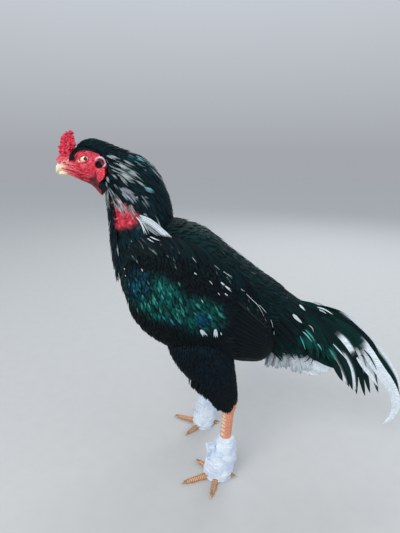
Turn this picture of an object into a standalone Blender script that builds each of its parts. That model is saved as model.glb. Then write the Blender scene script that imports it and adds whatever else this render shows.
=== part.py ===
"""An aseel gamecock, standing still and life-size, for Blender 4.5.

Metres, +Z up. The cock faces -X and its left side is -Y. Tables are in millimetres.
Each body part is a closed loft through a few stations, and its feathers are tapered vanes
whose roots are sunk in it. Neighbours are parted by thin cuts of GAP.
"""

import math
import random

import bmesh
import bpy
import numpy as np

MM = 0.001
GAP = 0.3 * MM
SEED = 7

# Rows of a body table: top x, top z, bottom x, bottom z, half width.
HEAD = (
    (-224, 586, -221, 567, 8),
    (-217, 597, -214, 562, 13),
    (-206, 607, -206, 556, 17.5),
    (-193, 614, -195, 550, 20.5),
    (-178, 616.5, -185, 545, 22),
    (-161, 613, -173, 532, 22),
    (-146, 606, -165, 520, 20),
)
NECK = (
    (-210, 607, -209, 600, 5),
    (-198, 616.5, -197, 600, 13.5),
    (-182, 621.5, -181, 599, 19),
    (-166, 618.5, -164, 588, 22),
    (-151, 613, -158, 558, 23.5),
    (-134, 606, -162, 529, 25),
    (-104, 595, -161, 503, 29),
    (-76, 572, -160, 478, 36),
    (-58, 537, -159, 452, 45),
    (-50, 502, -157, 422, 54),
    (-46, 470, -153, 395, 56),
)
TORSO = (
    (-135, 470, -154, 418, 36),
    (-100, 484, -141, 362, 60),
    (-50, 488, -112, 302, 72),
    (6, 473, -66, 252, 76),
    (56, 434, -5, 228, 74),
    (100, 399, 68, 215, 63),
    (136, 373, 126, 224, 47),
    (166, 350, 162, 268, 32),
)
RUMP = (
    (140, 352, 140, 252, 33),
    (172, 339, 170, 250, 28),
    (200, 323, 196, 262, 19),
    (226, 305, 222, 280, 7),
)
# Rows of the wing table add the middle's distance from the mid-plane.
WING = (
    (-130, 424, -132, 382, 10, 46),
    (-102, 441, -115, 330, 18, 60),
    (-52, 444, -79, 292, 21, 68),
    (5, 425, -24, 270, 21, 71),
    (60, 385, 38, 253, 19, 67),
    (105, 338, 92, 241, 15, 58),
    (136, 292, 128, 240, 8, 49),
)
BEAK_UPPER = (
    (-208, 594, -206, 570, 9),
    (-216, 594.5, -216, 570.5, 8.8),
    (-225, 592, -224, 570, 8),
    (-234, 587.5, -234, 569.2, 6.6),
    (-240.5, 581, -241, 567, 4.9),
    (-245.8, 573, -245.4, 563.5, 2.4),
)
BEAK_LOWER = (
    (-206, 570.5, -204, 560, 8.4),
    (-216, 571.2, -214, 560.2, 7.8),
    (-224, 571, -222, 560.5, 6.8),
    (-234, 570, -233, 561, 4.8),
    (-240.5, 568, -239.5, 562.5, 2.4),
)
# Rows of a limb table: x, y, z of the middle, fore-and-aft radius, sideways radius.
THIGH = (
    (2, -46, 318, 46, 26),
    (-2, -58, 278, 56, 32),
    (10, -66, 238, 51, 30),
    (28, -70, 205, 37, 23),
    (43, -72, 182, 24, 17),
    (51, -73, 163, 15, 12.5),
)
SHANK = (
    (55, -73, 182, 9, 8),
    (54.5, -73, 173, 11.5, 10),
    (53.5, -73, 160, 12.5, 11),
    (51.5, -72.5, 146, 10.5, 9.5),
    (50, -72, 125, 9.7, 8.8),
    (48, -71, 98, 9.7, 8.8),
    (43, -69, 58, 10, 9.5),
    (36, -66.5, 22, 12, 11.5),
    (34, -66, 10, 14, 14),
    (34, -66, 0, 12.5, 12.5),
)
BANDAGE = (
    (48, -71, 92, 13.5, 12.5),
    (48, -71, 86, 15.5, 14.5),
    (45, -70.5, 72, 20, 17),
    (42, -69.5, 55, 25, 19),
    (39, -68, 38, 27, 20.5),
    (36, -66.5, 20, 26.5, 22),
    (34, -66, 7, 25.5, 22.5),
    (34, -66, 0, 24, 21.5),
)
RIGHT_FOOT_FORWARD = 26 * MM
RIGHT_STANCE = 82 / 66
EYE_CENTRE = (-190.5, -15.2, 589)
EYE_RADIUS = 7.6
# Toes of the left foot: heading from straight forward towards the outside, length, root radius.
TOES = {"inner": (-40, 48, 6.0), "middle": (20, 66, 6.6), "outer": (76, 54, 6.0), "back": (168, 30, 5.2)}
RIGHT_TOES = {"inner": -44, "middle": 23, "outer": 72, "back": 170}
TOE_START = 9.5
CLAW_LENGTH = 14
SCUTES = 6
# Tiers of laid feathers: start along the loft, how many, reach along it, half width.
HACKLE_TIERS = ((0.36, 6, 0.17, 10), (0.50, 7, 0.20, 11), (0.63, 8, 0.22, 12), (0.75, 9, 0.24, 12.5))
SADDLE_TIERS = ((0.62, 6, 0.26, 11), (0.75, 6, 0.26, 12))
# Tiers of a wing: vanes, start along, its rise, start angle, its sweep, reach, end angle, its sweep,
# half width, lift, points.
WING_TIERS = (
    (6, 0.44, 0.06, 42, 104, 0.24, 48, 90, 16, 3.0, 3),
    (7, 0.60, 0.05, 30, 116, 0.37, 36, 104, 15, 3.6, 3),
)
# Curved tail feathers of the left side: half width, lean of the web, then points (x, y, z).
MAIN_SICKLES = (
    (11.5, -8, ((183, -5, 318), (232, -10, 304), (272, -17, 284), (306, -23, 250), (332, -25, 214), (357, -23, 180),
                (376, -20, 152), (387, -17, 118), (383, -15, 92), (368, -14, 72))),
    (12.0, 8, ((183, 5, 322), (235, 7, 312), (280, 9, 290), (316, 11, 256), (347, 13, 224), (374, 14, 192),
               (396, 14, 158), (408, 14, 124))),
)
LESSER_SICKLES = (
    (10.5, -10, ((182, -8, 318), (230, -13, 303), (285, -16, 268), (322, -18, 215), (343, -19, 150))),
    (10.5, -12, ((180, -12, 314), (225, -18, 296), (270, -22, 258), (300, -24, 208), (317, -25, 148))),
    (10.0, -14, ((177, -16, 310), (215, -22, 288), (250, -26, 250), (277, -28, 205), (292, -29, 158))),
    (9.5, -16, ((173, -19, 306), (205, -25, 283), (235, -29, 248), (257, -31, 212), (270, -32, 180))),
)
TAIL_COVERTS = (
    (9.5, -14, ((182, -6, 330), (215, -9, 316), (250, -12, 290), (272, -13, 255))),
    (9.5, -18, ((178, -13, 326), (210, -18, 308), (240, -21, 278), (257, -22, 244))),
    (9.5, -18, ((176, -20, 318), (206, -27, 296), (232, -31, 262), (243, -33, 228))),
    (9.5, -18, ((166, -24, 312), (192, -31, 288), (212, -35, 258), (219, -36, 234))),
    (9.5, -16, ((156, -27, 302), (174, -34, 278), (188, -38, 254), (193, -39, 238))),
)
# Flat tail feathers, from the lowest to the top one: root, tip, half width, lean.
RECTRIX_LOW = ((146, -18, 242), (243, -36, 203), 17, -12)
RECTRIX_TOP = ((186, -4, 306), (338, -12, 232), 13, -60)
RECTRICES = 6


def smooth(rows, count):
    """Points of a Catmull-Rom curve through the rows: so many of them evenly, or those at a list of row numbers."""
    rows = np.asarray(rows, float)
    ends = np.vstack([2 * rows[0] - rows[1], rows, 2 * rows[-1] - rows[-2]])
    at = np.linspace(0, len(rows) - 1, count) if np.isscalar(count) else np.asarray(count, float)
    i = np.minimum(at.astype(int), len(rows) - 2)
    t = (at - i)[:, None]
    p0, p1, p2, p3 = (ends[i + k] for k in range(4))
    return 0.5 * (
        2 * p1 + (p2 - p0) * t + (2 * p0 - 5 * p1 + 4 * p2 - p3) * t**2 + (3 * p1 - p0 - 3 * p2 + p3) * t**3
    )


def unit(v):
    """Rows of v at length 1."""
    v = np.asarray(v, float)
    return v / np.maximum(np.linalg.norm(v, axis=-1, keepdims=True), 1e-12)


class Loft:
    """A closed tube of ellipses: middles, and the two half axes of each."""

    def __init__(self, middles, up, side):
        self.middles, self.up, self.side = (np.asarray(v, float) for v in (middles, up, side))

    def rounded(self, front, back):
        """The same tube with its ends drawn in as domes over these shares of its length."""
        at = np.linspace(0, 1, len(self.middles))
        from_front = np.clip(at / max(front, 1e-6), 0, 1)
        from_back = np.clip((1 - at) / max(back, 1e-6), 0, 1)
        scale = np.sqrt(1 - (1 - from_front) ** 2) * np.sqrt(1 - (1 - from_back) ** 2)
        scale = np.maximum(scale, 0.12)[:, None]
        return Loft(self.middles, self.up * scale, self.side * scale)

    def mirrored(self, shift_x=0.0, spread=1.0):
        """The right-hand copy of a left-hand tube."""
        turn = np.array([1, -1, 1])
        middles = self.middles * turn * np.array([1, spread, 1]) - np.array([shift_x, 0, 0])
        return Loft(middles, self.up * turn, self.side * turn)

    def at(self, along, angle):
        """Points on the surface: along from 0 to 1, angle from the top in degrees, minus towards the left."""
        along, angle = np.atleast_1d(along), np.radians(np.atleast_1d(angle))
        place = np.clip(along, 0, 1) * (len(self.middles) - 1)
        i = np.minimum(place.astype(int), len(self.middles) - 2)
        t = (place - i)[:, None]
        middle, up, side = (v[i] * (1 - t) + v[i + 1] * t for v in (self.middles, self.up, self.side))
        return middle + up * np.cos(angle)[:, None] + side * np.sin(angle)[:, None]

    def out(self, along, angle):
        """Outward directions at those points."""
        along, angle = np.atleast_1d(along).astype(float), np.atleast_1d(angle).astype(float)
        small = 0.004
        ahead = self.at(np.minimum(along + small, 1), angle) - self.at(np.maximum(along - small, 0), angle)
        round_it = self.at(along, angle + 2) - self.at(along, angle - 2)
        out = unit(np.cross(round_it, ahead))
        inner = self.at(along, angle) - (self.at(along, 0 * angle) + self.at(along, 0 * angle + 180)) / 2
        return out * np.sign((out * inner).sum(1))[:, None]


def body_loft(table, count, middle_y=0.0):
    """A loft through the rows of a body table. A sixth column is the middle's distance from the mid-plane."""
    rows = smooth(np.asarray(table, float) * MM, count)
    top = np.stack([rows[:, 0], np.zeros(count), rows[:, 1]], 1)
    low = np.stack([rows[:, 2], np.zeros(count), rows[:, 3]], 1)
    middles = (top + low) / 2
    middles[:, 1] = -rows[:, 5] if rows.shape[1] > 5 else middle_y
    side = np.zeros((count, 3))
    side[:, 1] = rows[:, 4]
    return Loft(middles, (top - low) / 2, side)


def limb_loft(table, count):
    """A loft through the rows of a limb table, with level rings."""
    rows = smooth(np.asarray(table, float) * MM, count)
    up, side = np.zeros((len(rows), 3)), np.zeros((len(rows), 3))
    up[:, 0] = -rows[:, 3]
    side[:, 1] = rows[:, 4]
    return Loft(rows[:, :3], up, side)


def mesh_object(name, points, faces):
    """A mesh object of triangles that point outwards, split alike in a piece and in its grown copy."""
    points = np.asarray(points, float)
    faces = [(face[0], b, c) for face in faces for b, c in zip(face[1:], face[2:])]
    if sum(np.dot(points[a], np.cross(points[b], points[c])) for a, b, c in faces) < 0:
        faces = [(c, b, a) for a, b, c in faces]
    mesh = bpy.data.meshes.new(name)
    mesh.from_pydata(points.tolist(), [], faces)
    mesh.update()
    made = bpy.data.objects.new(name, mesh)
    bpy.context.scene.collection.objects.link(made)
    return made


def tube(loft, sides, grow=0.0, shape=None, floor=None):
    """The loft as a closed mesh, grown outwards by grow. shape moves its points, floor flattens its underside."""
    up = loft.up * (1 + grow / np.linalg.norm(loft.up, axis=1))[:, None]
    side = loft.side * (1 + grow / np.linalg.norm(loft.side, axis=1))[:, None]
    middles = loft.middles.copy()
    middles[0] -= unit(middles[1] - middles[0]) * grow
    middles[-1] += unit(middles[-1] - middles[-2]) * grow
    angles = np.linspace(0, 2 * math.pi, sides, endpoint=False)
    rings = (
        middles[:, None]
        + up[:, None] * np.cos(angles)[None, :, None]
        + side[:, None] * np.sin(angles)[None, :, None]
    )
    points = np.vstack([rings.reshape(-1, 3), middles[:1], middles[-1:]])
    if shape is not None:
        points = shape(points)
    if floor is not None:
        points[:, 2] = np.maximum(points[:, 2], floor - grow)
    count = len(middles)
    faces = []
    for i in range(count - 1):
        for j in range(sides):
            a, b = i * sides + j, i * sides + (j + 1) % sides
            faces.append((a, b, b + sides, a + sides))
    first, last = count * sides, count * sides + 1
    for j in range(sides):
        faces.append((first, (j + 1) % sides, j))
        faces.append((last, (count - 1) * sides + j, (count - 1) * sides + (j + 1) % sides))
    return mesh_object("piece", points, faces)


def vane(path, out, half_width, half_thick, camber=0.0, grow=0.0):
    """A feather: a ridged plate along the path, pointed at its tip, both faces split alike."""
    path, out = np.asarray(path, float), np.asarray(out, float)
    ahead = unit(np.gradient(path, axis=0))
    path = path.copy()
    path[0] -= ahead[0] * grow
    path[-1] += ahead[-1] * 2 * grow
    across = unit(np.cross(ahead, out))
    out = unit(np.cross(across, ahead))
    wide = (np.asarray(half_width, float) + grow)[:, None]
    thick = np.asarray(half_thick, float)[:, None] + grow
    drop = camber * np.asarray(half_width, float)[:, None]
    ring = np.stack(
        [path + across * wide - out * drop, path + out * thick, path - across * wide - out * drop, path - out * thick],
        1,
    )
    count = len(path)
    points = np.vstack([ring.reshape(-1, 3), path[:1] - out[:1] * drop[0] / 2, path[-1:] - out[-1:] * drop[-1] / 2])
    faces = []
    for i in range(count - 1):
        a = 4 * i
        for edge, ridge in ((0, 1), (2, 1), (0, 3), (2, 3)):
            low, high, low2, high2 = a + edge, a + ridge, a + 4 + edge, a + 4 + ridge
            flip = (edge == 2) != (ridge == 3)
            for face in ((low, high, high2), (low, high2, low2)):
                faces.append(tuple(reversed(face)) if flip else face)
    first, last, end = 4 * count, 4 * count + 1, 4 * (count - 1)
    for j in range(4):
        k = (j + 1) % 4
        faces.append((first, k, j))
        faces.append((last, end + j, end + k))
    return mesh_object("piece", points, faces)


def feather_shape(count, blunt):
    """Shares of the full half width along a feather: narrow quill, wide web, tip round (1) to lance-like (0)."""
    at = np.linspace(0, 1, count)
    root = 0.3 + 0.7 * np.clip(at / 0.35, 0, 1) ** 0.7
    tip = (1 - np.clip((at - 0.35) / 0.65, 0, 1) ** (1.3 + 4 * blunt)) ** (0.9 - 0.4 * blunt)
    return np.maximum(root * tip, 0.06)


def laid_vane(loft, start, end, half_width, lift, thick=0.9, blunt=0.3, count=3, roll=6, sink=2.5, grow=0.0):
    """A feather laid on a loft from start to end, each (along, angle), rising from sink below it to lift above.

    roll tips its lower edge outwards, so that neighbours lie over one another like shingles.
    """
    t = np.linspace(0, 1, count)
    along = start[0] + (end[0] - start[0]) * t
    angle = start[1] + (end[1] - start[1]) * t
    out = loft.out(along, angle)
    path = loft.at(along, angle) + out * ((-sink + (lift + sink) * t) * MM)[:, None]
    across = unit(np.cross(unit(np.gradient(path, axis=0)), out))
    out = out - across * math.tan(math.radians(roll)) * np.sign(-start[1])
    wide = feather_shape(count, blunt) * half_width * MM
    return vane(path, out, wide, np.maximum(feather_shape(count, 1), 0.5) * thick * MM, 0.08, grow)


def free_vane(points, half_width, lean, thick=0.8, blunt=0.3, count=7, camber=0.1, grow=0.0):
    """A tail feather along a curve through the points. lean turns its web's left face upwards."""
    path = smooth(points, count) * MM
    lean = math.radians(lean)
    out = np.tile([0, -math.cos(lean), -math.sin(lean)], (count, 1))
    wide = feather_shape(count, blunt) * half_width * MM
    return vane(path, out, wide, np.maximum(feather_shape(count, 1), 0.45) * thick * MM, camber, grow)


def ball(middle, radii, segments=12, rings=8, grow=0.0):
    """An ellipsoid in a piece of its own."""
    middle, radii = np.asarray(middle, float) * MM, np.asarray(radii, float) * MM + grow
    theta = np.linspace(0, math.pi, rings + 1)[1:-1]
    phi = np.linspace(0, 2 * math.pi, segments, endpoint=False)
    ring = np.stack(
        [np.outer(np.sin(theta), np.cos(phi)), np.outer(np.sin(theta), np.sin(phi)), np.outer(np.cos(theta), 1 + 0 * phi)],
        -1,
    )
    points = np.vstack([ring.reshape(-1, 3), [[0, 0, 1], [0, 0, -1]]]) * radii + middle
    faces = []
    for i in range(rings - 2):
        for j in range(segments):
            a, b = i * segments + j, i * segments + (j + 1) % segments
            faces.append((a, a + segments, b + segments, b))
    top, low, end = len(points) - 2, len(points) - 1, (rings - 2) * segments
    for j in range(segments):
        k = (j + 1) % segments
        faces.append((top, j, k))
        faces.append((low, end + k, end + j))
    return mesh_object("piece", points, faces)


def ring_ridge(middle, normal, radii, wire, segments=16, grow=0.0):
    """A closed oval ridge, such as an eyelid, round a middle and facing along normal."""
    middle, normal = np.asarray(middle, float) * MM, unit(normal)
    across = unit(np.cross([0, 0, 1], normal))
    rise = np.cross(normal, across)
    phi = np.linspace(0, 2 * math.pi, segments, endpoint=False)
    line = np.outer(np.cos(phi) * radii[0], across) + np.outer(np.sin(phi) * radii[1], rise)
    away = unit(line)
    wire = wire * MM + grow
    points = []
    for j in range(5):
        a = 2 * math.pi * j / 5
        points.append(middle + line * MM + away * wire * math.cos(a) + normal * wire * math.sin(a))
    points = np.stack(points, 1).reshape(-1, 3)
    faces = []
    for i in range(segments):
        for j in range(5):
            a, b = i * 5 + j, i * 5 + (j + 1) % 5
            c, d = ((i + 1) % segments) * 5 + j, ((i + 1) % segments) * 5 + (j + 1) % 5
            faces.append((a, c, d, b))
    return mesh_object("piece", points, faces)


def apply_boolean(target, others, operation):
    """Joins or cuts with a collection of closed pieces, then removes them."""
    if not others:
        return
    group = bpy.data.collections.new("pieces")
    for other in others:
        for home in list(other.users_collection):
            home.objects.unlink(other)
        group.objects.link(other)
    modifier = target.modifiers.new("join", "BOOLEAN")
    modifier.operation = operation
    modifier.operand_type = "COLLECTION"
    modifier.collection = group
    modifier.solver = "MANIFOLD"
    graph = bpy.context.evaluated_depsgraph_get()
    result = bpy.data.meshes.new_from_object(target.evaluated_get(graph))
    target.modifiers.remove(modifier)
    target.data = result
    for other in others:
        bpy.data.objects.remove(other)
    bpy.data.collections.remove(group)


def split_in_triangles(mesh):
    """Takes out the points that lie inside one straight edge, then splits every face."""
    work = bmesh.new()
    work.from_mesh(mesh)
    idle = [v for v in work.verts if len(v.link_edges) == 2]
    bmesh.ops.dissolve_verts(work, verts=idle)
    bmesh.ops.triangulate(work, faces=work.faces)
    work.to_mesh(mesh)
    work.free()


def keep_largest(target):
    """Leaves only the closed surface that holds the most."""
    mesh = target.data
    points = np.array([v.co for v in mesh.vertices])
    faces = [tuple(p.vertices) for p in mesh.polygons]
    parent = list(range(len(faces)))

    def root(i):
        while parent[i] != i:
            parent[i] = parent[parent[i]]
            i = parent[i]
        return i

    first_with = {}
    for number, face in enumerate(faces):
        for a, b in zip(face, face[1:] + face[:1]):
            other = first_with.setdefault((min(a, b), max(a, b)), number)
            parent[root(other)] = root(number)
    volume = {}
    for number, face in enumerate(faces):
        fan = (np.dot(points[face[0]], np.cross(points[b], points[c])) for b, c in zip(face[1:], face[2:]))
        volume[root(number)] = volume.get(root(number), 0) + sum(fan)
    best = max(volume, key=volume.get)
    kept = [face for number, face in enumerate(faces) if root(number) == best]
    used = sorted({i for face in kept for i in face})
    place = {old: new for new, old in enumerate(used)}
    clean = bpy.data.meshes.new(mesh.name)
    clean.from_pydata(points[used].tolist(), [], [tuple(place[i] for i in face) for face in kept])
    clean.update()
    target.data = clean


def node(name, pieces, cutters, material):
    """One named closed body: its pieces joined, then its neighbours' grown pieces cut away."""
    body, rest = pieces[0], pieces[1:]
    apply_boolean(body, rest, "UNION")
    apply_boolean(body, cutters, "DIFFERENCE")
    split_in_triangles(body.data)
    keep_largest(body)
    body.name = name
    body.data.name = name
    body.data.materials.append(material)
    body.data.shade_smooth()
    body.data.set_sharp_from_angle(angle=math.radians(40))
    return body


def material(name, colour, roughness, metallic=0.0):
    made = bpy.data.materials.new(name)
    made.use_nodes = True
    shader = made.node_tree.nodes["Principled BSDF"]
    shader.inputs["Base Color"].default_value = (*colour, 1)
    shader.inputs["Roughness"].default_value = roughness
    shader.inputs["Metallic"].default_value = metallic
    return made


# Head

def face_shape(points):
    """Brow ridge, cheek, jowl and the hollow round the eye, alike on both sides."""
    bumps = (
        (-192, 601, 13, 6, 3.4),
        (-190, 570, 12, 9, 2.6),
        (-182, 556, 10, 8, 2.0),
        (-176, 578, 7, 8, 2.0),
        (-207, 590, 8, 8, -2.0),
        (-193, 588, 9, 8, -3.2),
    )
    points = points.copy()
    for x, z, reach_x, reach_z, height in bumps:
        near = ((points[:, 0] / MM - x) / reach_x) ** 2 + ((points[:, 2] / MM - z) / reach_z) ** 2
        points[:, 1] += np.sign(points[:, 1]) * np.exp(-near) * height * MM * (abs(points[:, 1]) > 4 * MM)
    return points


def head_pieces(grow=0.0):
    pieces = [tube(body_loft(HEAD, 13).rounded(0.10, 0.12), 18, grow, face_shape)]
    x, y, z = EYE_CENTRE
    for side in (-1, 1):
        pieces.append(ring_ridge((x, -side * y * 1.22, z), (0.1, side, 0.05), (8.0, 6.2), 1.5, 10, grow))
        pieces.append(ring_ridge((-168.5, side * 22.0, 580), (0.25, side, 0.0), (5.0, 6.0), 1.8, 8, grow))
    return pieces


def eye(side, grow=0.0):
    x, y, z = EYE_CENTRE
    return ball((x, -side * y, z), (EYE_RADIUS,) * 3, 10, 6, grow)


def nostrils():
    """Slits that open the cere on both sides."""
    return [ball((-228, side * 7.6, 583), (3.4, 1.6, 1.3), 7, 4) for side in (-1, 1)]


def ear_cups():
    return [ball((-168.5, side * 24.5, 580), (3.4, 3.5, 4.2), 7, 4) for side in (-1, 1)]


def beak_pieces(upper, grow=0.0):
    table = BEAK_UPPER if upper else BEAK_LOWER
    return [tube(body_loft(table, 9 if upper else 7).rounded(0.02, 0.12), 12, grow)]


def comb_pieces(grow=0.0):
    """An upright pea comb: a middle blade with rounded points, and a lower row of beads on each side."""
    pieces = [ball((-223.5, 0, 611), (11.5, 5.5, 20), 8, 6, grow)]
    points = ((-232, 601, 5.2), (-232, 611, 4.8), (-229, 621, 4.8), (-222, 628, 4.8), (-215.5, 627, 5.0),
              (-213.5, 616, 4.6), (-214, 606, 4.6))
    for x, z, radius in points:
        pieces.append(ball((x, 0, z), (radius, 3.8, radius * 1.1), 6, 4, grow))
    for side in (-1, 1):
        for x, z, radius in ((-229, 601, 4.2), (-221, 603, 4.2)):
            pieces.append(ball((x, side * 5.4, z), (radius, 3.0, radius * 1.3), 6, 4, grow))
    return pieces


def lobe(side, grow=0.0):
    """The red ear lobe, a flat fold that hangs below the ear."""
    table = ((-163.5, 573.5, 4.2), (-163.3, 566.5, 5.6), (-164, 559, 4.9), (-166.6, 552, 2.4))
    rows = smooth(table, 6) * MM
    up, out = np.zeros((6, 3)), np.zeros((6, 3))
    up[:, 0] = rows[:, 2] * 1.15
    out[:, 1] = side * rows[:, 2] * 0.75
    middles = np.stack([rows[:, 0], np.full(6, side * 25 * MM), rows[:, 1]], 1)
    return tube(Loft(middles, up, out).rounded(0.2, 0.3), 8, grow)


# Neck and hackle

def hackle(grow=0.0):
    """Tiers of lance-like hackle feathers down the nape and sides, longest where they fall on the back."""
    draw = random.Random(SEED)
    loft = body_loft(NECK, 24)
    pieces = []
    for start, count, reach, half_width in HACKLE_TIERS:
        for i in range(count):
            angle = ((i + 0.5) / count * 2 - 1) * 112
            end = start + reach * (0.78 + 0.22 * math.cos(math.radians(angle))) * draw.uniform(0.94, 1.06)
            pieces.append(laid_vane(loft, (start, angle), (end, angle * 0.97), half_width, 4.5, blunt=0.1, grow=grow))
    return pieces


def neck_pieces(grow=0.0):
    return [tube(body_loft(NECK, 13), 16, grow)] + hackle(grow)


# Torso, saddle and rump

def torso_core(grow=0.0):
    return tube(body_loft(TORSO, 12).rounded(0.16, 0.05), 20, grow)


def saddle(grow=0.0):
    """Pointed saddle feathers that fall from the back over the root of the tail."""
    draw = random.Random(SEED + 1)
    loft = body_loft(TORSO, 24)
    pieces = []
    for start, count, reach, half_width in SADDLE_TIERS:
        for i in range(count):
            angle = ((i + 0.5) / count * 2 - 1) * 74
            end = start + reach * draw.uniform(0.92, 1.0)
            pieces.append(laid_vane(loft, (start, angle), (end, angle * 1.2), half_width, 4.5, blunt=0.1, grow=grow))
    return pieces


def torso_pieces(grow=0.0):
    return [torso_core(grow)] + saddle(grow)


# Wings

def wing_pieces(mirror, grow=0.0):
    """A folded wing: the arm under smooth small coverts, then greater coverts, secondaries and primaries."""
    loft = body_loft(WING, 11).rounded(0.14, 0.10)
    if mirror:
        loft = loft.mirrored()
    pieces = [tube(loft, 12, grow)]
    for count, start, rise, angle, sweep, reach, end_angle, end_sweep, half_width, lift, points in WING_TIERS:
        for i in range(count):
            share = i / (count - 1)
            first = start + rise * share
            last = min(first + reach, 0.99)
            piece = laid_vane(
                loft,
                (first, -(angle + sweep * share)),
                (last, -(end_angle + end_sweep * share)),
                half_width,
                lift,
                blunt=0.8,
                count=points,
                roll=-6 if mirror else 6,
                grow=grow,
            )
            pieces.append(piece)
    return pieces


# Tail

def mirrored_points(points, shorten=1.0):
    """The right-hand copy of a feather's points, a little shorter than the left one."""
    root = np.asarray(points[0], float)
    return (root + (np.asarray(points, float) - root) * shorten) * np.array([1, -1, 1])


def tail_pieces(grow=0.0):
    """The rump, six flat feathers a side, the coverts, four lesser sickles a side and the two main ones."""
    pieces = [tube(body_loft(RUMP, 7).rounded(0.05, 0.25), 12, grow)]
    for side in (-1, 1):
        for i in range(RECTRICES):
            share = i / (RECTRICES - 1)
            root = np.array(RECTRIX_LOW[0]) * (1 - share) + np.array(RECTRIX_TOP[0]) * share
            tip = np.array(RECTRIX_LOW[1]) * (1 - share) + np.array(RECTRIX_TOP[1]) * share
            middle = (root + tip) / 2 + np.array([0, 0, 4])
            points = [root, middle, tip]
            half_width = RECTRIX_LOW[2] * (1 - share) + RECTRIX_TOP[2] * share
            lean = RECTRIX_LOW[3] * (1 - share) + RECTRIX_TOP[3] * share
            if side > 0:
                points, lean = mirrored_points(points), 180 - lean
            pieces.append(free_vane(points, half_width, lean, 0.9, 0.9, 4, 0.05, grow))
        for table, count in ((LESSER_SICKLES, 5), (TAIL_COVERTS, 4)):
            for half_width, lean, points in table:
                if side > 0:
                    points, lean = mirrored_points(points, 0.95), 180 - lean
                pieces.append(free_vane(points, half_width, lean, 0.9, 0.25, count, 0.1, grow))
    for half_width, lean, points in MAIN_SICKLES:
        pieces.append(free_vane(points, half_width, lean, 1.0, 0.3, 9, 0.1, grow))
    return pieces


# Legs

def thigh(right, grow=0.0):
    """The feathered drumstick. Its feathers end lower in front than behind."""
    loft = limb_loft(THIGH, 11).rounded(0.12, 0.12)
    if right:
        loft = loft.mirrored(RIGHT_FOOT_FORWARD, RIGHT_STANCE)
    ankle = THIGH[-1][0] * MM - (RIGHT_FOOT_FORWARD if right else 0)

    def slant(points):
        points = points.copy()
        points[:, 2] += 0.5 * (points[:, 0] - ankle) * np.clip((0.2 - points[:, 2]) / 0.03, 0, 1)
        return points

    return tube(loft, 14, grow, slant)


def leg_loft(table, count, right):
    loft = limb_loft(table, count)
    return loft.mirrored(RIGHT_FOOT_FORWARD, RIGHT_STANCE) if right else loft


def foot_middle(right):
    x, y = SHANK[-1][0] * MM, SHANK[-1][1] * MM
    return np.array([x - RIGHT_FOOT_FORWARD, -y * RIGHT_STANCE, 0]) if right else np.array([x, y, 0])


def shank(right, grow=0.0):
    """The shank with its foot pad, ringed by the broad scutes down its front."""
    scuted = np.linspace(2.2, 4.9, 2 * SCUTES)
    loft = leg_loft(SHANK, [0, 1, 1.8, *scuted, 6, 7.4, 8, 9], right)
    ridges = np.ones(len(loft.middles))
    ridges[3:3 + len(scuted)] += 0.05 * np.cos(np.arange(len(scuted)) * math.pi)
    return tube(Loft(loft.middles, loft.up * ridges[:, None], loft.side * ridges[:, None]), 10, grow, floor=0.0)


def toe_direction(right, name):
    heading = math.radians(RIGHT_TOES[name] if right else TOES[name][0])
    outside = 1 if right else -1
    return np.array([-math.cos(heading), outside * math.sin(heading), 0])


def toe(right, name, grow=0.0):
    """A toe of knuckle pads, flat underneath, from the foot's middle outwards."""
    length, radius = TOES[name][1:]
    ahead = toe_direction(right, name)
    across = np.array([-ahead[1], ahead[0], 0])
    count = 6 if name == "back" else 10
    at = np.linspace(0, 1, count)
    pads = 1 + 0.09 * np.cos(2 * math.pi * at * (2 if name == "back" else 3))
    radii = radius * (1 - 0.38 * at) * pads * MM
    height = radius * (1.05 - 0.45 * at) * MM
    middles = foot_middle(right) + ahead * ((TOE_START + (length - TOE_START) * at) * MM)[:, None]
    middles[:, 2] = height * 0.6
    up = np.zeros((count, 3))
    up[:, 2] = height
    return tube(Loft(middles, up, across * radii[:, None]).rounded(0.03, 0.14), 8, grow, floor=0.0)


def claw(right, name):
    """A curved claw whose point comes down to the ground."""
    ahead = toe_direction(right, name)
    tip = foot_middle(right) + ahead * TOES[name][1] * MM
    at = np.linspace(0, 1, 5)
    middles = tip + ahead * ((-5 + CLAW_LENGTH * np.sin(at * 1.35)) * MM)[:, None]
    middles[:, 2] = (4.6 - 3.7 * at**2) * MM
    radii = (2.5 * (1 - at) ** 0.7 + 0.35) * MM
    across = np.array([-ahead[1], ahead[0], 0])
    up = np.zeros((5, 3))
    up[:, 2] = radii
    return tube(Loft(middles, up, across * radii[:, None] * 0.8), 5, floor=0.0)


def bandage(right):
    """A cloth wrap round the shank and foot, thick over the spur, in turns."""
    loft = leg_loft(BANDAGE, 10, right)
    turns = 1 + 0.035 * np.cos(np.arange(10) * math.pi)
    turns[-2:] = 1
    return tube(Loft(loft.middles, loft.up * turns[:, None], loft.side * turns[:, None]), 12, floor=0.0)


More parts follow.
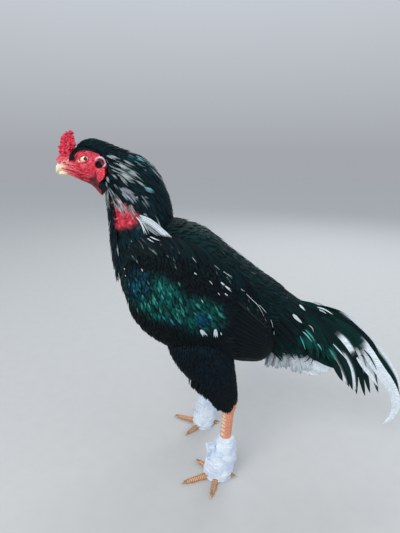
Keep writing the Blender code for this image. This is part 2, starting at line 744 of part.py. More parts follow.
def build():
    """Every node, cut clear of the ones it lies against."""
    black = material("black_feather", (0.008, 0.016, 0.018), 0.4, 0.2)
    green = material("green_feather", (0.01, 0.06, 0.055), 0.35, 0.4)
    tail_black = material("tail_feather", (0.02, 0.035, 0.04), 0.5)
    skin = material("red_skin", (0.55, 0.03, 0.04), 0.5)
    comb_red = material("comb_red", (0.65, 0.03, 0.05), 0.5)
    horn = material("horn", (0.75, 0.62, 0.42), 0.35)
    pearl = material("eye", (0.75, 0.66, 0.45), 0.1)
    scale = material("leg_scale", (0.72, 0.32, 0.20), 0.5)
    cloth = material("bandage", (0.72, 0.80, 0.90), 0.9)

    node("head", head_pieces(), [eye(-1, GAP), eye(1, GAP)] + ear_cups(), skin)
    for side, name in ((-1, "eye_left"), (1, "eye_right")):
        node(name, [eye(side)], [], pearl)
    node("beak_upper", beak_pieces(True), head_pieces(GAP) + nostrils(), horn)
    node("beak_lower", beak_pieces(False), head_pieces(GAP) + beak_pieces(True, GAP), horn)
    node("comb", comb_pieces(), head_pieces(GAP) + beak_pieces(True, GAP) + [tube(body_loft(NECK, 13), 16, GAP)],
         comb_red)
    for side, name in ((-1, "lobe_left"), (1, "lobe_right")):
        node(name, [lobe(side)], head_pieces(GAP) + neck_pieces(GAP), comb_red)

    node("neck", neck_pieces(), head_pieces(GAP) + torso_pieces(GAP), black)
    node("torso", torso_pieces(), [], black)
    for right, name in ((False, "thigh_left"), (True, "thigh_right")):
        node(name, [thigh(right)], [torso_core(GAP)], black)
    for right, name in ((False, "wing_left"), (True, "wing_right")):
        node(name, wing_pieces(right), torso_pieces(GAP) + neck_pieces(GAP) + [thigh(right, GAP)], green)
    node("tail", tail_pieces(), torso_pieces(GAP) + wing_pieces(False, GAP) + wing_pieces(True, GAP), tail_black)

    for right, side in ((False, "left"), (True, "right")):
        node(f"shank_{side}", [shank(right)], [thigh(right, GAP)], scale)
        for name in TOES:
            cuts = [shank(right, GAP)]
            if name in ("inner", "outer"):
                cuts.append(toe(right, "middle", GAP))
            node(f"toe_{name}_{side}", [toe(right, name)], cuts, scale)
            node(f"claw_{name}_{side}", [claw(right, name)], [toe(right, name, GAP)], horn)
        wrap_cuts = [shank(right, GAP)] + [toe(right, name, GAP) for name in TOES]
        node(f"bandage_{side}", [bandage(right)], wrap_cuts, cloth)


def stand_at_origin():
    """Moves every node so that the origin is under the middle of the whole bird's box."""
    shown = [o for o in bpy.data.objects if o.type == "MESH"]
    points = np.vstack([np.array([v.co for v in o.data.vertices]) for o in shown])
    low, high = points.min(0), points.max(0)
    shift = -np.array([(low[0] + high[0]) / 2, (low[1] + high[1]) / 2, low[2]])
    for o in shown:
        for v in o.data.vertices:
            v.co = v.co + type(v.co)(shift)


for leftover in list(bpy.data.objects):
    bpy.data.objects.remove(leftover)
build()
stand_at_origin()
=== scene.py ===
import math

import bpy
import numpy as np
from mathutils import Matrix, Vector, noise


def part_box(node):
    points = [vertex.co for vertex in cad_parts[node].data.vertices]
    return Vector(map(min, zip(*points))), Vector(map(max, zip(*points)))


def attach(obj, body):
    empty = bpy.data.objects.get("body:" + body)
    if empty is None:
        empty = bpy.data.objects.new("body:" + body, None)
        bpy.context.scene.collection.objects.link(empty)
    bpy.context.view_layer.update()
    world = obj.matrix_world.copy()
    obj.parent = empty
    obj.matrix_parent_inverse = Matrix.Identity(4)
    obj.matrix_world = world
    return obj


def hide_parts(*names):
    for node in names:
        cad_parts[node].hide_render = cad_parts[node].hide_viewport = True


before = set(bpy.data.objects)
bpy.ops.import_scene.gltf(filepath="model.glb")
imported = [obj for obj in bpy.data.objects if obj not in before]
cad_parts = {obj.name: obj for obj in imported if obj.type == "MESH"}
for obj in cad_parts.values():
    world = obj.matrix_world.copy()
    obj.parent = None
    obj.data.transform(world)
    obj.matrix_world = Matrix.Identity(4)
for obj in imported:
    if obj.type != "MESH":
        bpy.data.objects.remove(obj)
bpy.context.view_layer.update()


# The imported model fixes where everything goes. All tables below are in millimetres from the bird's
# own mid-plane and the floor, and PLACE carries them to the model, found by the left eye's box.
EYE = np.array((-190.5, -15.2, 589.0))
eye_low, eye_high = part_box("eye_left")
PLACE = (np.array(eye_low) + np.array(eye_high)) / 2 * 1000 - EYE
PLACE[2] = 0


# The camera stands a little above the bird's head and looks down on it from its left side, as a
# person holding a phone does. Its frame is 400 by 533 pixels with a focal length of 400 pixels.
FOCAL_PIXELS = 400
FRAME_HEIGHT = 533
LOOKS_DOWN = 16
STANDS_AT = np.array((0, -700, 600))
camera_data = bpy.data.cameras.new("camera")
camera_data.sensor_width = 36
camera_data.lens = camera_data.sensor_width * FOCAL_PIXELS / FRAME_HEIGHT
camera = bpy.data.objects.new("camera", camera_data)
camera.location = (PLACE + STANDS_AT) / 1000
camera.rotation_euler = (math.radians(90 - LOOKS_DOWN), 0, 0)
bpy.context.scene.collection.objects.link(camera)
bpy.context.scene.camera = camera


# A plain pale studio: a wide floor with the faint grain of matt paper, one large soft light over
# the camera's left shoulder, a weaker one from the right and one behind that rims the dark plumage.
def plain_material(name):
    """A new material, with its nodes and its surface shader."""
    made = bpy.data.materials.new(name)
    made.use_nodes = True
    return made, made.node_tree.nodes, made.node_tree.nodes["Principled BSDF"]


def fill(node, **settings):
    """Sets a node's choices and inputs. A socket is linked to its input, and in_0 is the first input."""
    for key, value in settings.items():
        if hasattr(node, key):
            setattr(node, key, value)
            continue
        entry = node.inputs[int(key[3:]) if key.startswith("in_") else key.replace("_", " ")]
        if isinstance(value, bpy.types.NodeSocket):
            node.id_data.links.new(value, entry)
        else:
            entry.default_value = value
    return node


def add_node(nodes, kind, **settings):
    return fill(nodes.new("ShaderNode" + kind), **settings)


def object_place(nodes):
    return add_node(nodes, "TexCoord").outputs["Object"]


def ranged(nodes, value, low, high, start=0.0, end=1.0):
    """The value, carried over from start and end to low and high."""
    made = add_node(nodes, "MapRange", Value=value, From_Min=start, From_Max=end, To_Min=low, To_Max=high)
    return made.outputs["Result"]


def ramp(nodes, value, *stops):
    """A colour for the value, from two stops of a position and a colour."""
    made = add_node(nodes, "ValToRGB", Fac=value)
    for element, (position, colour) in zip(made.color_ramp.elements, stops):
        element.position = position
        element.color = (*colour, 1)
    return made.outputs["Color"]


paper, nodes, shader = plain_material("floor_paper")
grain = add_node(nodes, "TexNoise", Scale=35.0, Detail=6.0, Vector=object_place(nodes)).outputs["Fac"]
fill(shader, Base_Color=ranged(nodes, grain, 0.46, 0.50), Roughness=0.85)
bpy.ops.mesh.primitive_circle_add(vertices=96, radius=9, fill_type="NGON")
floor = bpy.context.object
floor.name = "floor"
floor.data.materials.append(paper)

world = bpy.data.worlds.new("studio")
world.use_nodes = True
sky = world.node_tree.nodes
height = add_node(sky, "SeparateXYZ", Vector=add_node(sky, "TexCoord").outputs["Generated"]).outputs["Z"]
fill(sky["Background"], Color=ramp(sky, height, (0.0, (0.37, 0.39, 0.42)), (0.6, (0.74, 0.80, 0.86))))
bpy.context.scene.world = world
bpy.context.scene.view_settings.view_transform = "Standard"


def soft_light(name, size, power, location, colour):
    data = bpy.data.lights.new(name, "AREA")
    data.shape = "DISK"
    data.size = size
    data.energy = power
    data.color = colour
    lamp = bpy.data.objects.new(name, data)
    lamp.location = location
    aim = Vector((0, 0, 0.35)) - Vector(location)
    lamp.rotation_euler = aim.to_track_quat("-Z", "Y").to_euler()
    bpy.context.scene.collection.objects.link(lamp)


soft_light("light_key", 1.6, 40, (-1.0, -1.7, 2.1), (1.0, 0.98, 0.95))
soft_light("light_fill", 2.4, 14, (2.2, -1.3, 1.3), (0.90, 0.96, 1.0))
soft_light("light_rim", 1.8, 26, (0.9, 1.9, 2.0), (0.92, 0.97, 1.0))


# The skin: head, neck, trunk, wing arms and drumsticks are one hide. The face, throat and a patch
# at the crop are bare, red and wrinkled, and the rest is dark and lies below the feathers.
# The tables' rows: top x, top z, bottom x, bottom z, half width, and a wing's distance from the
# mid-plane. A leg's rows: x, y, z, fore-and-aft radius, sideways radius.
HEAD = (
    (-224, 586, -221, 567, 8),
    (-217, 597, -214, 562, 13),
    (-206, 607, -206, 556, 17.5),
    (-193, 614, -195, 550, 20.5),
    (-178, 616.5, -185, 545, 22),
    (-161, 613, -173, 532, 22),
    (-146, 606, -165, 520, 20),
)
NECK = (
    (-210, 607, -209, 600, 5),
    (-198, 616.5, -197, 600, 13.5),
    (-182, 621.5, -181, 599, 19),
    (-166, 618.5, -164, 588, 22),
    (-151, 613, -158, 558, 23.5),
    (-134, 606, -162, 529, 25),
    (-104, 595, -161, 503, 29),
    (-76, 572, -160, 478, 36),
    (-58, 537, -159, 452, 45),
    (-50, 502, -157, 422, 54),
    (-46, 470, -153, 395, 56),
)
TORSO = (
    (-135, 470, -154, 418, 36),
    (-100, 484, -141, 362, 60),
    (-50, 488, -112, 302, 72),
    (6, 473, -66, 252, 76),
    (56, 434, -5, 228, 74),
    (100, 399, 68, 215, 63),
    (136, 373, 126, 224, 47),
    (166, 350, 162, 268, 32),
)
RUMP = (
    (140, 352, 140, 252, 33),
    (172, 339, 170, 250, 28),
    (200, 323, 196, 262, 19),
    (226, 305, 222, 280, 7),
)
WING = (
    (-130, 424, -132, 382, 10, 46),
    (-102, 441, -115, 330, 18, 60),
    (-52, 444, -79, 292, 21, 68),
    (5, 425, -24, 270, 21, 71),
    (60, 385, 38, 253, 19, 67),
    (105, 338, 92, 241, 15, 58),
    (136, 292, 128, 240, 8, 49),
)
THIGH = (
    (2, -46, 318, 46, 26),
    (-2, -58, 278, 56, 32),
    (10, -66, 238, 51, 30),
    (28, -70, 205, 37, 23),
    (43, -72, 182, 24, 17),
    (51, -73, 163, 15, 12.5),
)
RIGHT_FOOT_FORWARD = 26
RIGHT_STANCE = 82 / 66
FEATHER_DEPTH = 5.0
EYE_RADIUS = 7.6
EAR = np.array((-167.5, 22.0, 579.5))
EAR_RING = (-163.5, 583.0, 8.2)
PIMPLE = 1.9
CROP_FOLD = 4.4
FACE_BACK = -150
# Fleshy folds from the corner of the mouth over the cheek: thickness, then points of the left one.
GAPE_FOLDS = (
    (1.7, ((-234, -5.6, 573.5), (-225, -8.6, 573.5), (-214, -13.5, 572), (-203, -17.5, 568.5))),
    (1.5, ((-231, -6.0, 569.5), (-222, -8.5, 568.0), (-212, -12.5, 565), (-201, -16.5, 560))),
    (1.4, ((-226, -5.5, 565.0), (-217, -8.5, 562.5), (-207, -13.0, 559), (-197, -16.0, 554))),
    (1.6, ((-230, -6.5, 580.0), (-221, -10.0, 580.5), (-212, -15.0, 580), (-205, -18.0, 578))),
)
# The edge of the bare crop patch, seen from the side.
CROP_EDGE = np.array((
    (-148, 529), (-136, 520), (-124, 519), (-113, 519), (-104, 512), (-100, 502), (-104, 487), (-118, 480),
    (-137, 474), (-143, 468), (-147, 481), (-145, 496), (-147, 511),
))
# The edge of the bare face towards the black crown and neck, seen from the side.
FACE_EDGE = np.array((
    (-226, 583), (-216, 587), (-211, 595), (-205, 599.5), (-197, 601.5), (-186, 602), (-176, 600),
    (-166, 596), (-158, 590.5), (-154, 581), (-155.5, 568), (-158, 556), (-161, 545), (-165, 532),
    (-167, 518),
))
# Swells and hollows of the face, for brow, cheek, jowl and the eye's socket: x, z, reach in x and z, height.
FACE_SWELLS = (
    (-189, 601, 14, 6, 3.4), (-188, 570, 13, 8, 2.8), (-181, 556, 10, 8, 2.2), (-175, 579, 6, 8, 1.6),
    (-206, 590, 8, 8, -2.0), (-190.5, 588, 9.5, 8, -3.2),
)
# Patches on the face: the pale corner of the eye, the dark lore, a painted shadow under the cheek, the dark
# jaw, painted shade along the lobe's front edge, and the black behind it. Colour, x, z, half axes, slants,
# where it fades from and to, strength.
FACE_PATCHES = (
    ((0.92, 0.62, 0.42), -198.0, 586.425, 4.6, 2.3, 0.0, -0.25, 0.6, 1.4, 0.85),
    ((0.030, 0.012, 0.014), -212, 597, 4.0, 9.0, 0.0, 0.0, 0.5, 1.2, 0.9),
    ((0.035, 0.008, 0.008), -177.65, 555.5, 8.0, 5.0, -0.3, 0.0, 0.5, 1.4, 0.92),
    ((0.030, 0.006, 0.008), -174.758, 546.403, 8.0, 4.0, -0.6, 0.4, 0.4, 1.3, 0.8),
    ((0.10, 0.004, 0.012), -172.5, 562, 2.2, 11.0, 0.15, 0.0, 0.2, 1.2, 0.85),
    ((0.010, 0.016, 0.018), -162, 549, 6.0, 14.0, 0.0, 0.0, 0.6, 1.1, 1.0),
)


def smooth(rows, count):
    """Points of a smooth curve through the rows."""
    rows = np.asarray(rows, float)
    ends = np.vstack([2 * rows[0] - rows[1], rows, 2 * rows[-1] - rows[-2]])
    at = np.linspace(0, len(rows) - 1, count)
    i = np.minimum(at.astype(int), len(rows) - 2)
    t = (at - i)[:, None]
    a, b, c, d = (ends[i + k] for k in range(4))
    return 0.5 * (2 * b + (c - a) * t + (2 * a - 5 * b + 4 * c - d) * t**2 + (3 * b - a - 3 * c + d) * t**3)


def unit(v):
    v = np.asarray(v, float)
    return v / np.maximum(np.linalg.norm(v, axis=-1, keepdims=True), 1e-9)


def rise(value, low, high):
    """0 below low, 1 above high, and a soft step between."""
    t = np.clip((value - low) / (high - low), 0, 1)
    return t * t * (3 - 2 * t)


class Form:
    """A body of ellipses along a line: their middles and two half axes."""

    def __init__(self, middles, up, side):
        self.middles, self.up, self.side = middles, up, side

    def rounded(self, front, back):
        at = np.linspace(0, 1, len(self.middles))
        near = np.clip(at / max(front, 1e-6), 0, 1)
        far = np.clip((1 - at) / max(back, 1e-6), 0, 1)
        scale = np.sqrt(1 - (1 - near) ** 2) * np.sqrt(1 - (1 - far) ** 2)
        scale = np.maximum(scale, 0.03)[:, None]
        return Form(self.middles, self.up * scale, self.side * scale)

    def right(self, forward=0.0, spread=1.0):
        turn = np.array((1, -1, 1))
        middles = self.middles * turn * np.array((1, spread, 1)) - np.array((forward, 0, 0))
        return Form(middles, self.up * turn, self.side * turn)

    def at(self, along, angle):
        """Points on it: along from 0 to 1, angle in degrees from the top, minus towards the bird's left."""
        along, angle = np.broadcast_arrays(np.asarray(along, float), np.radians(angle))
        place = np.clip(along, 0, 1) * (len(self.middles) - 1)
        i = np.minimum(place.astype(int), len(self.middles) - 2)
        t = (place - i)[..., None]
        middle, up, side = (v[i] * (1 - t) + v[i + 1] * t for v in (self.middles, self.up, self.side))
        return middle + up * np.cos(angle)[..., None] + side * np.sin(angle)[..., None]

    def tangents(self, along, angle):
        ahead = self.at(np.minimum(along + 0.006, 1), angle) - self.at(np.maximum(along - 0.006, 0), angle)
        steps = np.minimum(along + 0.006, 1) - np.maximum(along - 0.006, 0)
        return ahead / steps[..., None], (self.at(along, angle + 1.5) - self.at(along, angle - 1.5)) / 3

    def out(self, along, angle):
        along, angle = np.broadcast_arrays(np.asarray(along, float), np.asarray(angle, float))
        ahead, round_it = self.tangents(along, angle)
        out = unit(np.cross(round_it, ahead))
        inner = self.at(along, angle) - (self.at(along, 0 * angle) + self.at(along, 0 * angle + 180)) / 2
        sign = np.sign((out * inner).sum(-1, keepdims=True))
        return out * np.where(sign == 0, 1, sign)


def body_form(table, count=160):
    rows = smooth(table, count)
    top = np.stack([rows[:, 0], np.zeros(count), rows[:, 1]], 1)
    low = np.stack([rows[:, 2], np.zeros(count), rows[:, 3]], 1)
    middles = (top + low) / 2
    if rows.shape[1] > 5:
        middles[:, 1] = -rows[:, 5]
    side = np.zeros((count, 3))
    side[:, 1] = rows[:, 4]
    return Form(middles, (top - low) / 2, side)


def limb_form(table, count=120):
    rows = smooth(table, count)
    up, side = np.zeros((count, 3)), np.zeros((count, 3))
    up[:, 0] = -rows[:, 3]
    side[:, 1] = rows[:, 4]
    return Form(rows[:, :3], up, side)


def mesh_piece(name, points, faces, material=None):
    """A mesh object at the origin from millimetre points. faces holds arrays of equal-sided faces."""
    mesh = bpy.data.meshes.new(name)
    mesh.vertices.add(len(points))
    mesh.vertices.foreach_set("co", ((np.asarray(points) + PLACE) / 1000).astype(np.float32).ravel())
    corners = np.concatenate([f.ravel() for f in faces]).astype(np.int32)
    sizes = np.concatenate([np.full(len(f), f.shape[1]) for f in faces])
    mesh.loops.add(len(corners))
    mesh.loops.foreach_set("vertex_index", corners)
    mesh.polygons.add(len(sizes))
    mesh.polygons.foreach_set("loop_start", np.concatenate([[0], np.cumsum(sizes)[:-1]]).astype(np.int32))
    mesh.update(calc_edges=True)
    mesh.validate()
    mesh.polygons.foreach_set("use_smooth", np.ones(len(mesh.polygons), bool))
    made = bpy.data.objects.new(name, mesh)
    bpy.context.scene.collection.objects.link(made)
    if material:
        mesh.materials.append(material)
    return made


def tube_faces(rings, sides):
    """Faces of a closed tube whose points are its rings in turn, then its first and last pole."""
    i, j = np.meshgrid(np.arange(rings - 1), np.arange(sides), indexing="ij")
    a, b = i * sides + j, i * sides + (j + 1) % sides
    walls = np.stack([a, a + sides, b + sides, b], -1).reshape(-1, 4)
    j = np.arange(sides)
    near = np.stack([np.full(sides, rings * sides), j, (j + 1) % sides], 1)
    end = (rings - 1) * sides
    far = np.stack([np.full(sides, rings * sides + 1), end + (j + 1) % sides, end + j], 1)
    return [walls, np.vstack([near, far])]


def outward(points, faces):
    """The faces, turned round if they look inwards."""
    volume = 0
    for f in faces:
        a = points[f[:, 0]]
        for k in range(1, f.shape[1] - 1):
            volume += (a * np.cross(points[f[:, k]], points[f[:, k + 1]])).sum()
    return faces if volume > 0 else [f[:, ::-1] for f in faces]


def round_grid(rings, sides):
    """Places along a form, from 0 to 1, and round it in degrees, for each point of a tube."""
    return np.meshgrid(np.linspace(0, 1, rings), np.linspace(0, 360, sides, endpoint=False), indexing="ij")


def closed_piece(name, grid, material=None):
    """A closed mesh of rings of points, with a pole in the middle of the first and the last ring."""
    points = np.vstack([grid.reshape(-1, 3), grid[0].mean(0), grid[-1].mean(0)])
    return mesh_piece(name, points, outward(points - points.mean(0), tube_faces(*grid.shape[:2])), material)


def tube_piece(name, form, rings, sides, shape=None, material=None, depth=0.0):
    """The form as a closed mesh, depth below its surface. shape moves the points, given their directions."""
    along, angle = round_grid(rings, sides)
    out = form.out(along, angle)
    points = form.at(along, angle) - out * depth
    if shape is not None:
        points = shape(points.reshape(-1, 3), out.reshape(-1, 3)).reshape(points.shape)
    return closed_piece(name, points, material)


def plain_mesh(made, name):
    """A new object with the mesh that the piece's modifiers give."""
    bpy.context.view_layer.update()
    mesh = bpy.data.meshes.new_from_object(made.evaluated_get(bpy.context.evaluated_depsgraph_get()))
    fresh = bpy.data.objects.new(name, mesh)
    bpy.context.scene.collection.objects.link(fresh)
    return fresh


def fused(name, pieces):
    """One closed mesh of several that overlap. The pieces are removed."""
    others = bpy.data.collections.new("others")
    bpy.context.scene.collection.children.link(others)
    for piece in pieces[1:]:
        bpy.context.scene.collection.objects.unlink(piece)
        others.objects.link(piece)
    union = pieces[0].modifiers.new("union", "BOOLEAN")
    union.operation, union.operand_type, union.solver = "UNION", "COLLECTION", "MANIFOLD"
    union.collection = others
    made = plain_mesh(pieces[0], name)
    for piece in pieces:
        bpy.data.objects.remove(piece)
    bpy.data.collections.remove(others)
    return made


def one_finish(made, material):
    """The whole piece in one finish, smooth all over."""
    made.data.materials.clear()
    made.data.materials.append(material)
    made.data.polygons.foreach_set("use_smooth", np.ones(len(made.data.polygons), bool))


def points_of(made):
    """Its points in the tables' millimetres."""
    flat = np.zeros(len(made.data.vertices) * 3, np.float32)
    made.data.vertices.foreach_get("co", flat)
    return flat.reshape(-1, 3).astype(float) * 1000 - PLACE


STORED = {1: ("FLOAT", "value"), 3: ("FLOAT_VECTOR", "vector"), 4: ("FLOAT_COLOR", "color")}


def store(made, name, values):
    """Values kept at each point, as a number, vector or colour."""
    values = np.asarray(values, np.float32)
    kind, part = STORED[values.size // len(values)]
    made.data.attributes.new(name, kind, "POINT").data.foreach_set(part, values.ravel())


def store_colour(made, name, tones):
    """A colour kept at each point. Of rings of points, the two poles take their ring's first colour."""
    if tones.ndim == 3:
        tones = np.vstack([tones.reshape(-1, 3), tones[[0, -1], 0]])
    store(made, name, np.hstack([tones, np.ones((len(tones), 1))]))


def mix(a, b, share):
    """A share of b in a, which may differ from point to point."""
    return a + (np.asarray(b) - a) * np.asarray(share)[..., None]


def gaps_to(flat, a, b):
    """Distances of flat points to the lines from a to b, and the gaps to their starts."""
    gap, run = flat[:, None] - a[None], b - a
    t = np.clip((gap * run).sum(-1) / (run**2).sum(-1), 0, 1)
    return np.linalg.norm(gap - t[..., None] * run, axis=-1), gap, run


def face_distance(points):
    """How far a point lies inside the bare face's edge, seen from the side. Outside is less than 0."""
    flat = points[:, [0, 2]]
    away, gap, run = gaps_to(flat, FACE_EDGE[:-1], FACE_EDGE[1:])
    near = away.argmin(1)
    gap = gap[np.arange(len(flat)), near]
    cross = run[near, 0] * gap[:, 1] - run[near, 1] * gap[:, 0]
    return np.where(cross < 0, 1, -1) * away.min(1)


def crop_distance(points):
    """Below 1 inside the bare crop patch, 1 on its ragged edge, and 1 more every 25 millimetres outside."""
    x, z = points[:, 0], points[:, 2]
    ragged_x = x + 1.6 * np.sin(z / 1.9) + np.sin(z / 4.3)
    ragged_z = z + 1.6 * np.sin(x / 2.1 + 1.0) + np.sin(x / 4.9)
    flat = np.stack([ragged_x, ragged_z], 1)
    a, b = CROP_EDGE, np.roll(CROP_EDGE, -1, 0)
    away = gaps_to(flat, a, b)[0].min(1)
    level = flat[:, 1:]
    crossing = a[:, 0] + (b[:, 0] - a[:, 0]) * (level - a[:, 1]) / (b[:, 1] - a[:, 1] + 1e-9)
    met = ((a[:, 1] > level) != (b[:, 1] > level)) & (flat[:, :1] < crossing)
    return 1 + np.where(met.sum(1) % 2 == 1, -1, 1) * away / 25


def grain_of(points, size, octaves=3, seed=0.0):
    """Smooth noise about -1 to 1 at each point, of this size in millimetres."""
    return np.array([noise.fractal(Vector(p), 0.6, 2.0, octaves) for p in points / size + seed])


def cells_of(points, size):
    """Distance to the nearest cell centre of this size."""
    return np.array([noise.voronoi(Vector(p), distance_metric="DISTANCE")[0][0] for p in points / size])


def face_folds(points):
    """Rings of fine folds round the eye and creases that run from the gape over the cheek, from -1 to 1."""
    x, y, z = points.T
    wander = grain_of(points, 9, 2, 3.0)
    from_eye = np.hypot(x - EYE[0], (z - EYE[2]) * 1.25) + wander * 1.2
    rings = np.sin(from_eye * 2 * math.pi / 3.1) * np.exp(-(((from_eye - 14.5) / 4.5) ** 2))
    crease = (z - 565) + 0.42 * (x + 205) + 1.5 * np.sin((x + 205) / 5) + wander * 2.4
    folds = np.sin(crease * 2 * math.pi / 4.6) * np.exp(-((crease / 12) ** 2)) * rise(x, -219, -208)
    return wander, rings, folds * (1 - rise(x, -180, -168))


def ear_distance(x, z):
    return np.hypot(x - EAR[0], (z - EAR[2]) * 0.86)


def face_relief(points, out):
    """Brow, cheek and jowl, folds round the eye, creases from the gape, pimpled skin and the ear."""
    for x, z, reach_x, reach_z, height in FACE_SWELLS:
        near = ((points[:, 0] - x) / reach_x) ** 2 + ((points[:, 2] - z) / reach_z) ** 2
        points[:, 1] += np.sign(points[:, 1]) * np.exp(-near) * height * (abs(points[:, 1]) > 4)
    x, y, z = points.T
    wander, rings, folds = face_folds(points)
    mouth = (z - 568.5) + 0.28 * (x + 226) + 0.004 * (x + 226) ** 2
    gape = -1.5 * np.exp(-(mouth**2)) * (1 - rise(x, -209, -200))
    ear = ear_distance(x, z)
    ear_rim = -1.2 * np.exp(-((np.hypot(x - EAR_RING[0], z - EAR_RING[1]) / 6.5) ** 2))
    ear_hole = -4.0 * (1 - rise(ear, 2.8, 5.4))
    pimples = (0.55 - cells_of(points, PIMPLE)) * 1.15
    pimples *= (1 - 0.8 * rise(-ear, -7, -4)) * (0.7 + 0.5 * rise(wander, -0.4, 0.4))
    height = (rings * 0.75 + folds * 0.95 + gape + ear_rim + ear_hole) * rise(abs(y), 4, 10)
    height += pimples + wander * 0.5
    opening = np.hypot(x - EYE[0] + 0.5, (z - EYE[2]) * 1.3)
    height = np.where(opening < 8.6, -1.5, height)
    return points + out * (height * rise(face_distance(points), -6, 1))[:, None]


def crop_creases(points, wander):
    """Slanting folds of the bare crop, from -1 to 1."""
    return np.sin((points[:, 2] * 0.5 + points[:, 0] * 0.85 + wander * 5) * 2 * math.pi / CROP_FOLD)


def neck_relief(points, out):
    """The bare patch stands level with the feathers and is wrinkled, and the rest lies below them."""
    patch = (1 - rise(crop_distance(points), 0.8, 1.25)) * rise(abs(points[:, 1]), 8, 16)
    wander = grain_of(points, 8, 2, 1.0)
    height = (FEATHER_DEPTH - 0.5 + wander * 1.2) * patch
    inside = patch > 0.01
    creases = crop_creases(points[inside], wander[inside])
    height[inside] += (creases * 1.3 + (0.5 - cells_of(points[inside], 2.6)) * 1.8) * patch[inside]
    return points + out * height[:, None]


def ridge_piece(path, radii, sides=10):
    """A closed tube along the points with these radii."""
    ahead = unit(np.gradient(path, axis=0))
    up = unit(np.cross(ahead, np.where(abs(ahead[:, 1:2]) < 0.9, (0, 1, 0), (1, 0, 0))))
    across = np.cross(ahead, up)
    turn = np.linspace(0, 2 * math.pi, sides, endpoint=False)[None, :, None]
    round_it = up[:, None] * np.cos(turn) + across[:, None] * np.sin(turn)
    rings = path[:, None] + radii[:, None, None] * round_it
    points = np.vstack([rings.reshape(-1, 3), path[:1], path[-1:]])
    return mesh_piece("ridge", points, outward(points - points.mean(0), tube_faces(len(path), sides)))


def eyelid(side, upper, spread, wire):
    """A lid as a fleshy roll over the eyeball, thickest in its middle and pointed at the corners."""
    t = np.linspace(0, math.pi, 28) if upper else np.linspace(-math.pi, 0, 28)
    x = -np.cos(t) * 8.8 * spread - 1.2
    z = np.sin(t) * (5.4 if upper else 5.3) * spread + 0.20 * x - 0.4
    y = np.sqrt(np.maximum((EYE_RADIUS + 0.35) ** 2 - x**2 - z**2, 12.0))
    path = np.stack([EYE[0] + x, side * (-EYE[1] + y), EYE[2] + z], 1)
    return ridge_piece(path, wire * (0.45 + 0.55 * np.sin(np.linspace(0.12, math.pi - 0.12, 28))))


head_form = body_form(HEAD).rounded(0.10, 0.12)
neck_form = body_form(NECK)
torso_form = body_form(TORSO).rounded(0.16, 0.05)
rump_form = body_form(RUMP).rounded(0.05, 0.25)
wing_forms = {"left": body_form(WING).rounded(0.14, 0.10)}
wing_forms["right"] = wing_forms["left"].right()
thigh_forms = {"left": limb_form(THIGH).rounded(0.12, 0.12)}
thigh_forms["right"] = thigh_forms["left"].right(RIGHT_FOOT_FORWARD, RIGHT_STANCE)

head_rings, head_sides = ((170, 190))
flesh = [
    tube_piece("head", head_form, head_rings, head_sides, face_relief),
    tube_piece("neck", neck_form, 130, 110, neck_relief, depth=FEATHER_DEPTH),
    tube_piece("trunk", torso_form, 60, 64, depth=FEATHER_DEPTH),
    tube_piece("rump", rump_form, 24, 32, depth=4.0),
]
for side in ("left", "right"):
    flesh.append(tube_piece("arm", wing_forms[side], 30, 32, depth=4.0))
    flesh.append(tube_piece("drumstick", thigh_forms[side], 30, 32, depth=4.0))
for side in (-1, 1):
    for upper in (True, False):
        flesh.append(eyelid(side, upper, 1.0, 1.5))
        flesh.append(eyelid(side, upper, 1.28, 1.2))
    for thick, line in GAPE_FOLDS:
        swell = 0.25 + 0.75 * np.sin(math.pi * (0.12 + 0.8 * np.linspace(0, 1, 30)))
        flesh.append(ridge_piece(smooth(line, 30) * (1, -side, 1), thick * swell))
    x, z, radius = EAR_RING
    turn = np.radians(np.linspace(-75, 165, 40))
    level = z + radius * np.sin(turn)
    hoop = np.stack([x + radius * np.cos(turn), side * (21.6 + 0.9 * np.sin(turn)), level], 1)
    thick = 0.3 + 0.7 * np.sin(np.linspace(0.15, math.pi - 0.25, 40))
    flesh.append(ridge_piece(hoop, 2.0 * thick * (1 + 0.22 * np.sin(turn * 7) + 0.12 * np.sin(turn * 17))))

skin, nodes, shader = plain_material("bare_skin")
place = object_place(nodes)
colour = add_node(nodes, "Attribute", attribute_name="skin_colour").outputs["Color"]
mottle = add_node(nodes, "TexNoise", Scale=420.0, Detail=5.0, Vector=place).outputs["Fac"]
pores = add_node(nodes, "TexVoronoi", Scale=900.0, Vector=place).outputs["Distance"]


def scaled(nodes, colour, share):
    return add_node(nodes, "VectorMath", operation="SCALE", in_0=colour, Scale=share).outputs["Vector"]


def bumped(nodes, height, strength, distance):
    return add_node(nodes, "Bump", Strength=strength, Distance=distance, Height=height).outputs["Normal"]


fill(
    shader,
    Base_Color=scaled(nodes, colour, ranged(nodes, mottle, 0.62, 1.25, 0.3, 0.7)),
    Roughness=ranged(nodes, mottle, 0.34, 0.62),
    Normal=bumped(nodes, pores, 0.35, 0.0004),
    Subsurface_Weight=0.12,
    Subsurface_Radius=(0.004, 0.0012, 0.001),
    Specular_IOR_Level=0.4,
)

